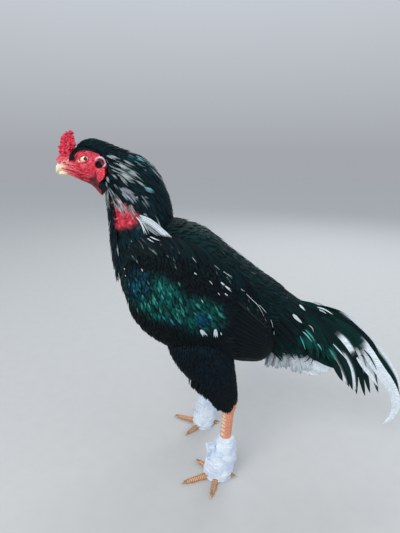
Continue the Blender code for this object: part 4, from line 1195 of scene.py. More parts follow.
# Long slim hackles of the saddle and flanks, which stream off the trunk's end over the tail's root.
count = 150
for side in (-1, 1):
    share = draw.uniform(0, 1, count)
    along, angle = draw.uniform(0.80, 0.965, count), side * (2 + 110 * share)
    root, out = torso_form.at(along, angle), torso_form.out(along, angle)
    reach = draw.uniform(0.75, 1.15, count)
    fall = np.interp(share, (0, 0.5, 1), (-56, -56, -42))
    tip = root + reach[:, None] * np.stack([72 - 38 * share, -side * 7.0 * share, fall], 1)
    root = root - out * 3.0
    paths, t = arched(root, (root + tip) / 2 + out * 2.0, tip, 8)
    outs = unit(out[:, None] * (1 - 0.6 * t) + np.array((0.0, 0.5 * side, 0.1)) * t)
    batch = vanes(paths, outs, draw.uniform(2.0, 3.4, count), outline(8, 0.15), draw, fray=0.1)
    sheen = draw.uniform(0.0, 0.6, count) ** 1.6
    tone = black_tone(count, sheen, (0, 0.5), 0.35, draw)
    dress(batches, batch, tone, each(0.14 + 0.4 * sheen), spots(along, angle))

# The feathers between the shoulders, which fall from the back over the top edge of the folded wing:
# how far their roots lie above and inside it, the angle that they fall to, and their number.
SHOULDER_ROWS = ((8, 8, 42, 48), (17, 14, 30, 56), (26, 22, 16, 60))
grid_along, grid_angle = flat_grid(np.linspace(0.04, 0.9, 90), np.linspace(10, 80, 50))
for side, name in ((-1, "left"), (1, "right")):
    form = wing_forms[name]
    back = torso_form.at(grid_along, side * grid_angle)
    for row, (begin_up, inward, drop, count) in enumerate(SHOULDER_ROWS):
        share = (np.arange(count) + draw.uniform(-0.3, 0.3, count)) / count
        top = form.at(0.04 + 0.80 * share, 0)
        wish = top + (-10.0, -side * inward, begin_up)
        near = np.linalg.norm(back[None] - wish[:, None], axis=-1).argmin(1)
        ends = np.minimum(0.11 + 0.80 * share, 0.95)
        tip_angle = side * draw.uniform(drop - 7, drop + 7, count)
        tip = form.at(ends, tip_angle) + form.out(ends, tip_angle) * (3.0 + 0.5 * row)
        root = back[near]
        over = np.maximum(root, top) * 0.45 + tip * 0.55 + (0, 0, 7.0)
        over[:, 1] = (top[:, 1] + tip[:, 1]) * 0.5 + side * 1.5
        paths, t = arched(root, over, tip, 8)
        outs = unit(np.array((0.1, side, 0.55)) * (1 - t) + np.array((0.0, side, 0.2)) * t) + 0 * paths
        batch = vanes(paths, outs, draw.uniform(4.2, 5.6, count), outline(8, 0.5), draw, fray=0.12)
        sheen = draw.uniform(0.0, 0.5, count) ** 1.6
        tone = black_tone(count, sheen, (0, 0.6), 0.3, draw)
        pale = each(draw.uniform(0, 1, count) < 0.12) * rise(-batch["ring"] * side, 0.45, 0.9)
        dress(batches, batch, mix(tone, WHITE * 0.35, pale * 0.8), each(0.14 + 0.5 * sheen) * (1 - pale),
              spots(grid_along[near], side * grid_angle[near]))

# The first rows behind the neck, tucked under the ends of the hackle.
along, angle = roots(torso_form, 0.16, 0.44, 4.5, 5.5, draw, (-80, 80))
at = torso_form.at(along, angle)
keep = within_neck(at) & (at[:, 0] > -72)
along, angle = along[keep], angle[keep]
count = len(along)
paths, outs = lay(torso_form, along, angle, trunk_heading, draw.uniform(20, 26, count), 5, -1.5,
                  draw.uniform(0.8, 1.8, count))
batch = vanes(paths, outs, draw.uniform(4.0, 5.0, count), outline(5, 0.8), draw, fray=0.2)
sheen = draw.uniform(0.0, 0.35, count) ** 1.4
dress(batches, batch, each(mix(BLACK, GREEN * 0.5, sheen)), 0.12 + 0.5 * each(sheen), spots(along, angle))
coat_piece("body_coat", batches, body_finish, "black_feather", "torso")


# The folded wings: small round coverts over the shoulder with a strong blue-green metal gloss, a row of
# greater coverts, then the long secondaries and the tips of the primaries, with thin white edges behind.
wing_finish = feather_finish("wing_feathers", 0.48, 0.32)
# White flecks on the wings: x, distance from the mid-plane, z, length, half width, slope, slips side by side.
WING_FLECKS = (
    (5.5, 102, 100.5, 314, 15.5, 1.5, -59, 3),
    (25.5, 101, 99.5, 313.5, 16, 1.3, -86, 3),
    (35, 98.5, 98.5, 311.5, 7, 0.7, -70, 1),
    (-124, 67, 70.5, 414, 4, 1.1, -57, 1),
    (-121.5, 75.5, 78, 405, 3.5, 0.7, -66, 1),
    (-92, 88, 91, 418.5, 5.5, 0.9, -57, 1),
    (-7, 95, 94.5, 414.5, 5, 1.1, -41, 1),
    (-8, 86.5, 90, 434.5, 12.5, 0.5, -49, 1),
    (18, 96, 95.5, 399.5, 9, 0.8, -52, 1),
    (38, 91.5, 89.5, 395, 12.5, 0.9, -42, 2),
    (46, 89.5, 89.5, 388, 14, 0.9, -38, 2),
    (43, 94, 93, 378.5, 8, 0.8, -43, 1),
    (70.5, 82.5, 81, 382, 9.5, 0.7, -37, 1),
    (28.5, 83, 84, 420.5, 14, 0.5, -41, 1),
    (45.5, 81, 80.5, 408.5, 18.5, 0.5, -36, 2),
    (4, 102, 103, 370.5, 6.5, 0.6, -58, 1),
    (31, 97, 96.5, 380.5, 7, 0.6, -51, 1),
)
# Thin white edges along the rear of the wing, seen from the side.
WING_EDGES = (
    (1.0, ((76.5, 80.5, 375.5), (86.5, 78.5, 364.5), (95.5, 77.5, 355.5), (103.5, 76.5, 342.5),
           (109.5, 76, 329.5))),
    (0.7, ((98, 76, 355), (108, 73, 344), (113, 72, 337))),
    (1.7, ((123, 58, 319.5), (126, 57.5, 311.5), (127.5, 58, 304))),
    (1.3, ((131, 50.5, 294), (131.5, 52, 287.5))),
)
GLOSS_MARKS = ((-73, 374, 58, 37, -28, 1.0), (-4, 347, 45, 32, -18, 1.0))
BLUE_MARKS = ((-106, 396, 26, 30, -30, 0.9), (2, 339, 12, 11, -40, 1.6), (-45, 330, 30, 12, -20, 0.6))
# The flight feathers' tiers: number, start along the wing and its rise, start angle and its sweep, reach,
# end angle and its sweep, half width, lift, rows of points.
FLIGHT_TIERS = (
    (11, 0.52, 0.02, 118, 44, 0.46, 112, 30, 8.5, 0.6, 14),
    (15, 0.50, 0.10, 22, 112, 0.47, 30, 104, 9.0, 1.6, 14),
    (16, 0.36, 0.06, 28, 124, 0.33, 34, 112, 8.6, 2.6, 10),
)
# The painted highlight along one edge of the flight feathers, and the green and blue painted glints of the
# coverts.
FLIGHT_EDGE_HIGHLIGHT, GREEN_GLINT, BLUE_GLINT = (
    np.array(c) for c in ((0.028, 0.036, 0.040), (0.08, 0.56, 0.44), (0.04, 0.42, 0.66))
)


def wing_heading(point, ahead):
    """Steeply down on the shoulder, more backwards towards the tip."""
    back = rise(point[:, 0], -90, 60)[:, None]
    return np.array((0.45, 0, -0.9)) * (1 - back) + np.array((0.74, 0, -0.67)) * back


for side, form in wing_forms.items():
    draw = np.random.default_rng(13)
    batches = []
    flip = -1 if side == "right" else 1
    for count, start, climb, first, sweep, reach, end, end_sweep, half_width, lift, rows in FLIGHT_TIERS:
        share, t = np.linspace(0, 1, count), np.linspace(0, 1, rows)
        begin = start + climb * share
        run = np.minimum(reach * draw.uniform(0.9, 1.05, count), 0.992 - begin)
        along = begin[:, None] + run[:, None] * t
        root_angle = -(first + sweep * share)
        angle = root_angle[:, None] * (1 - t) - (end + end_sweep * share)[:, None] * t
        outs = form.out(along, angle)
        paths = form.at(along, angle) + outs * (-1.0 + (lift + 1.0) * t)[:, None]
        wide = half_width * draw.uniform(0.92, 1.08, count)
        batch = vanes(paths, outs, wide, outline(rows, 0.85, 0.5), draw,
                      thick=0.4, columns=5, roll=1.0, fray=0.12)
        batch["points"] += outs[:, :, None] * (batch["wide"] * 0.07 * flip)[..., None]
        sheen = 0.45 * marks_at(batch["points"], GLOSS_MARKS) + 0.03
        tone = mix(BLACK, GREEN * 0.5, sheen * rise(abs(batch["ring"]), 0.1, 1.0))
        # A painted highlight along one edge of each flight feather.
        tone = mix(tone, FLIGHT_EDGE_HIGHLIGHT, rise(batch["ring"] * flip, 0.55, 1.0) * 0.7)
        dress(batches, batch, tone, np.clip(0.12 + 0.6 * sheen, 0, 1), spots(begin, root_angle, 0.0, 0.5))
    for first, last, gap_along, gap_round, length, half_width, low in (
        (0.02, 0.40, 5.4, 3.9, 19, 2.9, 1.8),
        (0.34, 0.62, 7.0, 4.6, 28, 3.5, 2.4),
    ):
        along, angle = roots(form, first, last, gap_along, gap_round, draw, (-196, 16))
        batch = laid(form, along, angle, wing_heading, length, half_width, 5, 0.7, low - 2.4,
                     (low + 0.2, low + 1.6), draw, fray=0.15, roll=7)
        middle, count = batch["points"][:, 2, 1], len(along)
        patch, blue = marks_at(middle, GLOSS_MARKS), marks_at(middle, BLUE_MARKS)
        bright = patch * draw.uniform(0.1, 1.0, count) ** 1.3
        hue = mix(GREEN * 1.15, BLUE * 1.1, np.clip(blue * 0.75 + draw.uniform(-0.15, 0.3, count), 0, 1))
        # A painted highlight: a thin bright streak in a glint colour on a few coverts within the glossy
        # patch.
        painted_glint_streak = each(draw.uniform(0, 1, count) < 0.16 * patch)
        painted_glint_streak = painted_glint_streak * np.exp(-(((batch["ring"] - 0.2) / 0.30) ** 2))
        # Painted highlight: each covert's teal is brighter towards one edge.
        lit = each(bright) * (0.25 + 0.75 * rise(batch["ring"] * flip, -0.6, 0.9))
        glint = each(mix(GREEN_GLINT, BLUE_GLINT, np.clip(blue, 0, 1)))
        tone = mix(mix(BLACK, each(hue) * 1.3, lit), glint, painted_glint_streak * 0.8 * rise(batch["share"], 0.3, 0.6))
        dress(batches, batch, tone, np.clip(0.16 + 0.7 * lit, 0, 0.9), spots(along, angle, 0.5, 1.0))

    # Thin white slips over the coverts and along the rear edge.
    wide_along, wide_angle = flat_grid(np.linspace(0.02, 0.99, 140), np.linspace(4, 176, 90))
    surface = form.at(wide_along, -flip * wide_angle)
    slips = []
    for x, first, last, z, length, half_width, slope, number in WING_FLECKS:
        for i in range(number):
            beside = i - (number - 1) / 2
            lean = math.radians(slope + 9 * beside)
            ahead = np.array((math.cos(lean), math.sin(lean)))
            aside = np.array((-ahead[1], ahead[0]))
            start = np.array((x, z)) - ahead * length / 2 + aside * beside * half_width * 1.5
            ends = start + ahead * length * draw.uniform(0.7, 1.1)
            line = np.linspace((start[0], first, start[1]), (ends[0], last, ends[1]), 7)
            slips.append((half_width * draw.uniform(0.8, 1.2), line, 0.85))
    for half_width, line in WING_EDGES:
        slips.append((half_width, smooth(line, 14)[::2], 1.0))
    for half_width, line, white in slips:
        gap = np.hypot(surface[:, 0] - line[:, :1], surface[:, 2] - line[:, 2:]) - 0.02 * abs(surface[:, 1])
        near = gap.argmin(1)
        outs = form.out(wide_along[near], -flip * wide_angle[near])
        batch = vanes((line * (1, -flip, 1))[None], outs[None], half_width, outline(7, 0.1, 0.45), draw,
                      thick=0.3, roll=2)
        place = np.array([[0.5 + 0.4 * wide_along[near[0]], 0.02 + 0.96 * wide_angle[near[0]] / 180]])
        dress(batches, batch, WHITE * white, 0.0, place)
    coat_piece("wing_coat_" + side, batches, wing_finish, "green_feather", "wing_" + side)


# The drumsticks: short, dense, matt black feathers that hang straight down, and a skirt of looser ones
# that ends in a ragged edge just above the bare shank.
draw = np.random.default_rng(14)
for side, form in thigh_forms.items():
    batches = []
    along, angle = roots(form, 0.02, 0.985, 5.6, 5.0, draw)
    batch = laid(form, along, angle, lambda point, ahead: unit(ahead) + np.array((0.15, 0, -0.2)),
                 23 - 9 * rise(along, 0.6, 1.0), 4.6 - 1.6 * rise(along, 0.5, 1.0), 5, 0.5, -3.0,
                 (0.3, 1.4), draw, size=(0.85, 1.2), fray=0.25)
    sheen = draw.uniform(0, 0.2, len(along))
    dress(batches, batch, each(mix(BLACK, BLUE * 0.25, sheen)), 0.08, spots(along, angle))
    along, angle = roots(form, 0.52, 0.97, 4.2, 4.2, draw)
    out, count = form.out(along, angle), len(along)
    fall = draw.uniform(14, 19, count)
    fall *= (1 - 0.8 * rise(abs(angle), 95, 150)) * (0.8 + 0.2 * rise(along, 0.5, 0.9))
    root = form.at(along, angle) - out * 3
    tip = root + out * (3.5 + 1.5 * rise(along, 0.8, 0.95))[:, None] - fall[:, None] * np.array((0, 0, 1.0))
    paths, _ = arched(root, (root + tip) / 2 + out * 3.2, tip, 5)
    outs = np.broadcast_to(out[:, None], paths.shape)
    batch = vanes(paths, outs, draw.uniform(2.4, 3.8, count), outline(5, 0.45), draw, fray=0.3, roll=8)
    dress(batches, batch, BLACK * 1.2, 0.05, spots(along, angle))
    coat_piece("thigh_coat_" + side, batches, body_finish, "black_feather", "thigh_" + side)


# The tail: stiff flat tail feathers, tiers of drooping coverts and lesser sickles, and the two long
# main sickles. Most are black with a green gloss, and the outer ones are splashed with white.
# The lowest feathers and the down below them are dull white, with dark curled strands over them.
# Curved feathers of the left side: half width, lean of the web, then points (x, y, z).
MAIN_SICKLES = (
    (10.5, -8, ((183, -5, 318), (232, -10, 304), (272, -17, 284), (306, -23, 250), (332, -25, 214),
                (357, -23, 180), (376, -20, 152), (387, -17, 118), (383, -15, 92), (368, -14, 72))),
    (11.5, 8, ((183, 5, 322), (235, 7, 312), (280, 9, 290), (316, 11, 256), (347, 13, 224), (374, 14, 192),
               (396, 14, 158), (408, 14, 124))),
)
LESSER_SICKLES = (
    (9.5, -9, ((184, -6, 321), (238, -9, 309), (288, -11, 282), (328, -13, 236), (350, -14, 172))),
    (8.5, -10, ((182, -8, 318), (230, -13, 303), (285, -16, 268), (322, -18, 215), (343, -19, 150))),
    (8.0, -11, ((181, -10, 316), (227, -16, 300), (278, -19, 264), (311, -21, 212), (330, -22, 152))),
    (8.0, -12, ((180, -12, 314), (225, -18, 296), (270, -22, 258), (300, -24, 208), (317, -25, 148))),
    (7.5, -13, ((178, -14, 312), (220, -20, 292), (260, -24, 254), (288, -26, 206), (304, -27, 152))),
    (7.5, -14, ((177, -16, 310), (215, -22, 288), (250, -26, 250), (277, -28, 205), (292, -29, 158))),
    (7.5, -15, ((175, -17, 308), (210, -24, 286), (243, -28, 246), (267, -30, 207), (281, -31, 168))),
    (7.5, -16, ((173, -19, 306), (205, -25, 283), (235, -29, 248), (257, -31, 212), (270, -32, 180))),
)
TAIL_COVERTS = (
    (7.0, -14, ((182, -4, 332), (217, -6, 319), (256, -9, 296), (282, -10, 262))),
    (7.0, -14, ((182, -6, 330), (215, -9, 316), (250, -12, 290), (272, -13, 255))),
    (7.0, -16, ((180, -10, 328), (212, -14, 312), (244, -17, 284), (263, -18, 249))),
    (7.0, -18, ((178, -13, 326), (210, -18, 308), (240, -21, 278), (257, -22, 244))),
    (7.0, -18, ((177, -17, 322), (208, -23, 302), (236, -27, 270), (250, -28, 236))),
    (7.0, -18, ((176, -20, 318), (206, -27, 296), (232, -31, 262), (243, -33, 228))),
    (7.0, -18, ((171, -22, 315), (199, -29, 292), (222, -33, 260), (231, -35, 231))),
    (7.0, -18, ((166, -24, 312), (192, -31, 288), (212, -35, 258), (219, -36, 234))),
    (7.0, -17, ((161, -26, 307), (183, -33, 283), (200, -37, 256), (206, -38, 236))),
    (7.0, -16, ((156, -27, 302), (174, -34, 278), (188, -38, 254), (193, -39, 238))),
    (7.0, -16, ((150, -29, 296), (166, -36, 272), (177, -40, 252), (181, -41, 238))),
)
RECTRIX_LOW = ((146, -18, 236), (226, -34, 199), 17, -12)
RECTRIX_TOP = ((186, -4, 306), (338, -12, 232), 13, -60)
RECTRICES = 7
# Feathers with a white part: tier, place in it, where the white begins and ends, how much of the web.
WHITE_WEBS = (
    (0, 1, 0.70, 0.95, 1.2),
    (0, 2, 0.60, 0.82, 1.6),
    (0, 3, 0.42, 0.63, 1.6),
    (0, 4, 0.56, 0.97, 0.7),
    (0, 6, 0.50, 0.96, 0.75),
)
TAIL_GLOSS = (
    (195, 270, 20, 14, -40, 1.0), (241, 240, 12, 16, -60, 0.8), (215, 248, 14, 12, -60, 0.6),
    (276, 256, 16, 9, -40, 0.7),
)


def splash(batches, batch, white, sheen, place):
    """Adds black webs with this share of white and of green gloss."""
    glow = np.clip(sheen, 0, 1)
    tone = mix(mix(BLACK, GREEN * 1.1, glow), WHITE * 1.05, white)
    dress(batches, batch, tone, np.clip(0.16 + 0.7 * glow, 0, 0.9) * (1 - white), place)


def web_outs(path, side, lean):
    """The direction that a long feather's web faces, on this side of the bird, for its lean in degrees."""
    lean = math.radians(lean)
    return np.broadcast_to((0.0, side * math.cos(lean), -math.sin(lean)), path.shape)


tail_finish = feather_finish("tail_feathers", 0.46, 0.34)
draw = np.random.default_rng(15)
batches = []
for side in (-1, 1):
    turn = np.array((1, -side, 1))
    for tier, (table, rows) in enumerate(((LESSER_SICKLES, 30), (TAIL_COVERTS, 22))):
        for number, (half_width, lean, points) in enumerate(table):
            points = np.array(points, float)
            if side > 0:
                points = points[0] + (points - points[0]) * 0.95
            looser = np.linspace(0, 1, len(points))[:, None] * (2.0, 0.6, 2.0)
            path = (smooth(points + draw.normal(0, 1.0, points.shape) * looser, rows) * turn)[None]
            outs = web_outs(path, side, lean + draw.uniform(-5, 5))
            batch = vanes(path, outs, half_width, outline(rows, 0.65 - 0.35 * tier, 0.25), draw,
                          thick=0.45, camber=0.16, columns=5, roll=2, fray=0.06)
            run, web, white = batch["share"], batch["ring"] * side, np.zeros(batch["wide"].shape)
            for at_tier, at_number, begins, ends, wide in WHITE_WEBS:
                if (at_tier, at_number) == (tier, number):
                    band = rise(run, begins - 0.02, begins + 0.05) * (1 - rise(run, ends - 0.05, ends))
                    white = np.maximum(white, band * rise(wide - 1 - web, -0.35, 0.05))
            lines = 0.5 + 0.5 * np.sin(batch["ring"] * draw.uniform(3, 9) + draw.uniform(0, 6))
            sheen = 0.9 * marks_at(path[:, :, None], TAIL_GLOSS) * draw.uniform(0.2, 1) * lines
            sheen += draw.uniform(0.0, 0.12)
            place = (0.5 + side * (0.08 + 0.36 * draw.uniform()), 0.1 + 0.4 * tier + 0.3 * draw.uniform())
            splash(batches, batch, white, sheen, np.array([place]))
    for i in range(RECTRICES):
        share = i / (RECTRICES - 1)
        both = zip(RECTRIX_LOW, RECTRIX_TOP)
        root, tip, half_width, lean = (np.array(low) + (np.array(top) - low) * share for low, top in both)
        path = (smooth([root, (root + tip) / 2 + (0, 0, 4), tip], 18) * turn)[None]
        batch = vanes(path, web_outs(path, side, lean), half_width - 2.0, outline(18, 0.9, 0.5), draw,
                      thick=0.5, camber=0.06, columns=5, roll=1, fray=0.12)
        white = (0.86 if i < 2 else 0.0) * (0.8 + 0.2 * rise(abs(batch["ring"]), 0, 0.8))
        splash(batches, batch, white, 0.10, np.array([[0.5 + side * 0.03 * (i + 1), 0.92]]))
for number, (half_width, lean, points) in enumerate(MAIN_SICKLES):
    path = smooth(points, 46)[None]
    batch = vanes(path, web_outs(path, -1, lean), half_width, outline(46, (0.6, 0.35)[number], 0.25), draw,
                  thick=0.5, camber=0.14, columns=5, roll=0, fray=0.05)
    x, upper = path[:, :, None, 0], -batch["ring"]
    if number == 0:
        white = rise(x + 6 * upper, 302, 313)
    else:
        white = rise(x + 16 * upper, 276, 292) * (1 - rise(0.35 - upper, 0.0, 0.2) * rise(x, 302, 312))
    splash(batches, batch, white, 0.12, np.array([[0.48 + 0.04 * number, 0.97]]))

# Drooping coverts round the tail's root, dull white on its underside.
along, angle = roots(rump_form, 0.02, 0.62, 5.5, 5.0, draw)
batch = laid(rump_form, along, angle, lambda point, ahead: unit(ahead) + np.array((0.3, 0, -0.45)),
             34 + 16 * np.cos(np.radians(angle)), 3.6, 7, 0.3, -2.5, (1.5, 4.5), draw, fray=0.2)
sheen = 0.3 * draw.uniform(0, 1, len(along)) ** 2
splash(batches, batch, each(rise(abs(angle), 118, 135) * 0.8), each(sheen), spots(along, angle))

# Dull white fluff below the tail's root, in broad soft feathers that hang down and back.
count = 150
for side in (-1, 1):
    share, rank = draw.uniform(0, 1, count), draw.uniform(0, 1, count)
    root = np.stack([134 + 66 * share, side * (3 + 27 * rank), 250 - 16 * share - 8 * (1 - rank)], 1)
    tip = np.stack([122 + 98 * share, side * (4 + 32 * rank), 205 - 13 * share + 10 * rank * (1 - share)], 1)
    tip = root + (tip - root) * draw.uniform(0.7, 1.05, count)[:, None]
    t = np.linspace(0, 1, 7)[None, :, None]
    bulge = np.array((0.0, side * 14.0, -6.0))
    paths = root[:, None] * (1 - t) + tip[:, None] * t + bulge * t * (1 - t)
    outs = unit(np.stack([0 * share, side * (0.25 + rank), -0.6 * (1 - rank) - 0.1], 1))[:, None] + 0 * paths
    batch = vanes(paths, outs, draw.uniform(3.2, 5.2, count), outline(7, 0.75, 0.5), draw, fray=0.3, roll=8)
    dull = (0.5 + 0.22 * share) * draw.uniform(0.85, 1.1, count)
    place = np.stack([0.5 + side * (0.05 + 0.4 * share), 0.7 + 0.04 * rank], 1)
    splash(batches, batch, each(dull), 0.0, place)

# Dark loose strands that hang and curl over the white ones.
count = 44
for side in (-1, 1):
    x = draw.uniform(138, 212, count)
    y = side * (33 + draw.uniform(0, 6, count))
    begin = np.stack([x, y, 262 - 0.12 * (x - 140) + draw.uniform(-5, 5, count)], 1)
    length = draw.uniform(16, 36, count)
    bend, start = draw.uniform(-2.4, 1.6, count), draw.uniform(-1.5, -0.8, count)
    turned = start[:, None] + bend[:, None] * np.linspace(0, 1, 9) ** 1.5
    step = np.stack([np.cos(turned), 0.05 * side + 0 * turned, np.sin(turned)], -1) * each(length / 8)
    paths = begin[:, None] + np.cumsum(step, 1) - step[:, :1]
    outs = np.broadcast_to((0.0, float(side), 0.15), paths.shape)
    batch = vanes(paths, outs, draw.uniform(0.9, 1.9, count), outline(9, 0.1, 0.6), draw, roll=12)
    place = np.stack([0.5 + side * draw.uniform(0.2, 0.45, count), draw.uniform(0.75, 0.9, count)], 1)
    splash(batches, batch, 0.0, 0.2 * rise(batch["share"], 0.2, 0.9), place)

# Single white and sea-green feathers over the tail's root: half width, colour, points of the left one.
TAIL_SLIPS = (
    (1.1, WHITE, ((243.5, -35.5, 262), (256, -34.5, 248.5), (264.5, -34.5, 239), (272.5, -34, 229))),
    (3.6, WHITE, ((291.5, -32, 232), (305.5, -29.5, 214), (319.5, -28.5, 197), (332.5, -26.5, 180.5),
                  (342.5, -26.5, 166))),
    (1.5, BLACK, ((302.5, -32.5, 249), (314, -33.5, 236), (324, -34, 220.5), (332, -34, 206))),
    (1.7, WHITE, ((180.5, -21, 333), (185.5, -22, 328.5), (191.5, -23, 322.5))),
    (2.9, WHITE * 0.85, ((165, -41, 322.5), (173, -40.5, 314.5), (183, -39.5, 305))),
    (1.2, WHITE, ((215.5, -13.5, 325.5), (230.5, -14, 320.5), (245.5, -17, 311.5))),
    (1.0, WHITE * 0.9, ((219, -15.5, 321), (226, -16, 318), (233, -17, 314))),
    (0.8, WHITE * 0.6, ((196, -36, 300), (202.5, -37.5, 294.5), (205.5, -39.5, 286))),
    (0.9, (0.30, 0.66, 0.64), ((184, -42.5, 290.5), (194, -42.5, 281), (203, -43, 268.5))),
    (0.8, (0.12, 0.50, 0.46), ((189, -41, 293), (199.5, -41.5, 282.5), (208, -42.5, 270.5))),
    (1.2, (0.05, 0.36, 0.30), ((178.5, -47.5, 283.5), (186, -46, 268.5), (191, -46, 254.5))),
    (1.0, (0.16, 0.52, 0.48), ((212.5, -42, 266), (217.5, -42.5, 260), (221.5, -43, 253))),
    (1.4, (0.03, 0.30, 0.25), ((236, -40, 254), (245, -39.5, 241), (249, -39, 231))),
)
for side in (-1, 1):
    for half_width, tint, line in TAIL_SLIPS:
        path = (smooth(line, 10) * (1, -side, 1))[None]
        outs = np.broadcast_to((0.15, float(side), 0.35), path.shape)
        batch = vanes(path, outs, half_width, outline(10, 0.25, 0.4), draw, thick=0.3, roll=2)
        dress(batches, batch, tint, 0.1, np.array([[0.5 + side * 0.3, 0.6]]))
coat_piece("tail_plumes", batches, tail_finish, "tail_feather", "tail")


# The eyes: a pearl iris that pales towards the corner, a black pupil and a wet clear surface.
PUPIL, IRIS = (0.004, 0.003, 0.003), (0.88, 0.78, 0.58)
IRIS_EDGE, EYE_CORNER = (0.50, 0.24, 0.10), (0.86, 0.52, 0.36)
EYE_RINGS, EYE_SIDES = 60, 48
eye_finish, nodes, shader = plain_material("wet_eye")
colour = add_node(nodes, "Attribute", attribute_name="eye_colour").outputs["Color"]
fibres = add_node(nodes, "TexNoise", Scale=900.0, Detail=3.0, Vector=object_place(nodes)).outputs["Fac"]
fill(
    shader,
    Base_Color=scaled(nodes, colour, ranged(nodes, fibres, 0.8, 1.2)),
    Roughness=0.25,
    Coat_Weight=1.0,
    Coat_Roughness=0.04,
)
down = np.linspace(math.pi, 0, EYE_RINGS)[:, None]
wide = np.sin(np.linspace(0.02, math.pi - 0.02, EYE_RINGS))[:, None]
turn = np.radians(np.linspace(0, 360, EYE_SIDES, endpoint=False))
ball = np.stack([wide * np.sin(turn), np.cos(down) + 0 * turn, wide * np.cos(turn)], -1)
ball = unit(np.vstack([ball.reshape(-1, 3), (0, -1, 0), (0, 1, 0)]))
for side, name in ((-1, "eye_left"), (1, "eye_right")):
    off_axis = np.degrees(np.arccos(np.clip(ball @ unit((0.42, side, 0.02)), -1, 1)))
    bulge = 1 + 0.05 * np.exp(-((off_axis / 32) ** 2))
    points = EYE * (1, -side, 1) + ball * bulge[:, None] * EYE_RADIUS
    made = mesh_piece(name, points, outward(ball, tube_faces(EYE_RINGS, EYE_SIDES)), eye_finish)
    tones = mix(np.array(PUPIL), IRIS, rise(off_axis, 22.5, 25.5))
    tones = mix(tones, IRIS_EDGE, np.exp(-(((off_axis - 24) / 3.0) ** 2)) * 0.30)
    tones = mix(tones, EYE_CORNER, rise(off_axis, 42, 60) * 0.5)
    store_colour(made, "eye_colour", tones)
    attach(made, "root")
    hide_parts(name)


# The bill: short, thick and hooked, in pale horn with growth lines, flushed pink where it leaves the
# face, with a slit nostril on each side. The lower half closes up against the upper one.
BEAK_UPPER = (
    (-208, 594, -206, 570, 9),
    (-216, 594.5, -216, 570.5, 8.8),
    (-225, 592, -224, 570, 8),
    (-234, 587.5, -234, 568.8, 6.6),
    (-240.5, 581, -241, 566.5, 4.9),
    (-245.8, 573, -245.4, 563, 2.5),
)
BEAK_LOWER = (
    (-206, 570.5, -204, 561.5, 8.4),
    (-216, 571.2, -214, 562, 7.8),
    (-224, 571, -222, 561.5, 6.8),
    (-234, 569.8, -233, 561.5, 5.0),
    (-241.5, 567.5, -240.5, 562, 2.8),
)
NOSTRIL = (-227.5, 582.5)
BILL_HORN, BILL_FLUSH, NOSTRIL_DARK = (0.88, 0.76, 0.54), (0.84, 0.24, 0.25), (0.10, 0.03, 0.03)
horn_finish, nodes, shader = plain_material("pale_horn")
colour = add_node(nodes, "Attribute", attribute_name="horn_colour").outputs["Color"]
growth = add_node(
    nodes, "TexWave", Scale=160.0, Distortion=6.0, Detail=3.0, Detail_Scale=1.5, Vector=object_place(nodes)
).outputs["Fac"]
fill(
    shader,
    Base_Color=scaled(nodes, colour, ranged(nodes, growth, 0.84, 1.12)),
    Roughness=ranged(nodes, growth, 0.26, 0.46),
    Normal=bumped(nodes, growth, 0.25, 0.0003),
    Subsurface_Weight=0.08,
    Subsurface_Radius=(0.002, 0.0012, 0.0008),
)


def bill_relief(points, out):
    """A ridge along the top, fine ripples all over, and the nostrils with their raised lids."""
    x, y, z = points.T
    u, w = x - NOSTRIL[0], z - NOSTRIL[1]
    nostril, lid = np.hypot(u / 3.6, (w - 0.25 * u) / 1.3), np.hypot(u / 4.6, (w - 1.7) / 2.0)
    height = -1.9 * (1 - rise(nostril, 0.5, 1.2)) + 0.8 * np.exp(-(((lid - 0.9) / 0.5) ** 2)) * (z > 582)
    ridge = 0.8 * np.exp(-((y / 1.6) ** 2)) * (out[:, 2] > 0.3)
    return points + out * (height * (abs(y) > 3) + ridge + 0.12 * np.sin(x * 2.2 + z))[:, None]


for name, table, relief_of in (("beak_upper", BEAK_UPPER, bill_relief), ("beak_lower", BEAK_LOWER, None)):
    made = tube_piece(name, body_form(table, 90).rounded(0.02, 0.10), 90, 100, relief_of, horn_finish)
    x, _, z = points_of(made).T
    base = np.maximum(rise(x, -229, -219), rise(z + 0.45 * (x + 238), 577, 587))
    tones = mix(np.array(BILL_HORN), BILL_FLUSH, base * 0.9)
    if relief_of:
        # The nostril's slit is painted dark, a painted shade in its hollow.
        nostril = np.hypot((x - NOSTRIL[0]) / 3.6, (z - NOSTRIL[1]) / 1.3)
        tones = mix(tones, NOSTRIL_DARK, (1 - rise(nostril, 0.4, 1.1)) * 0.9)
    store_colour(made, "horn_colour", tones)
    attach(made, "root")
    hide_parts(name)


# The comb: an upright, ragged pea comb of soft red flesh, thick at its foot and covered in small
# warts. The warts are strewn over the blade, and the whole is drawn together into one lumpy skin.
COMB_BLADE = (-223.0, 0.0, 610.0, 10.0, 4.2, 19.5)
COMB_FOOT = (
    (-237, 591, 3.4), (-233, 593, 4.4), (-227, 595, 5.0), (-221, 595, 5.0), (-237.5, 586.5, 2.6),
    (-232, 588.5, 3.4), (-225, 590, 3.8), (-218, 592, 3.8),
)
COMB_POINTS = (
    (-232, 601, 5.0), (-232.5, 608, 4.0), (-230, 615, 3.8), (-228, 622, 3.6), (-222, 627, 4.0),
    (-217, 628, 3.4), (-214, 631, 2.8), (-212.5, 621, 3.6), (-211.5, 613, 4.0), (-213.0, 605, 4.6),
    (-226, 597, 5.2), (-219, 598, 5.0),
)
COMB_SIDES = ((-229, 600, 4.4), (-221, 601, 4.4), (-226, 608, 3.2), (-219, 610, 3.4), (-223, 617, 3.0))
WARTS = {"Warts per square metre": 52000.0, "Smallest wart": 1.1, "Largest wart": 2.3, "Seed": 4}
COMB_VOXEL = 0.0005


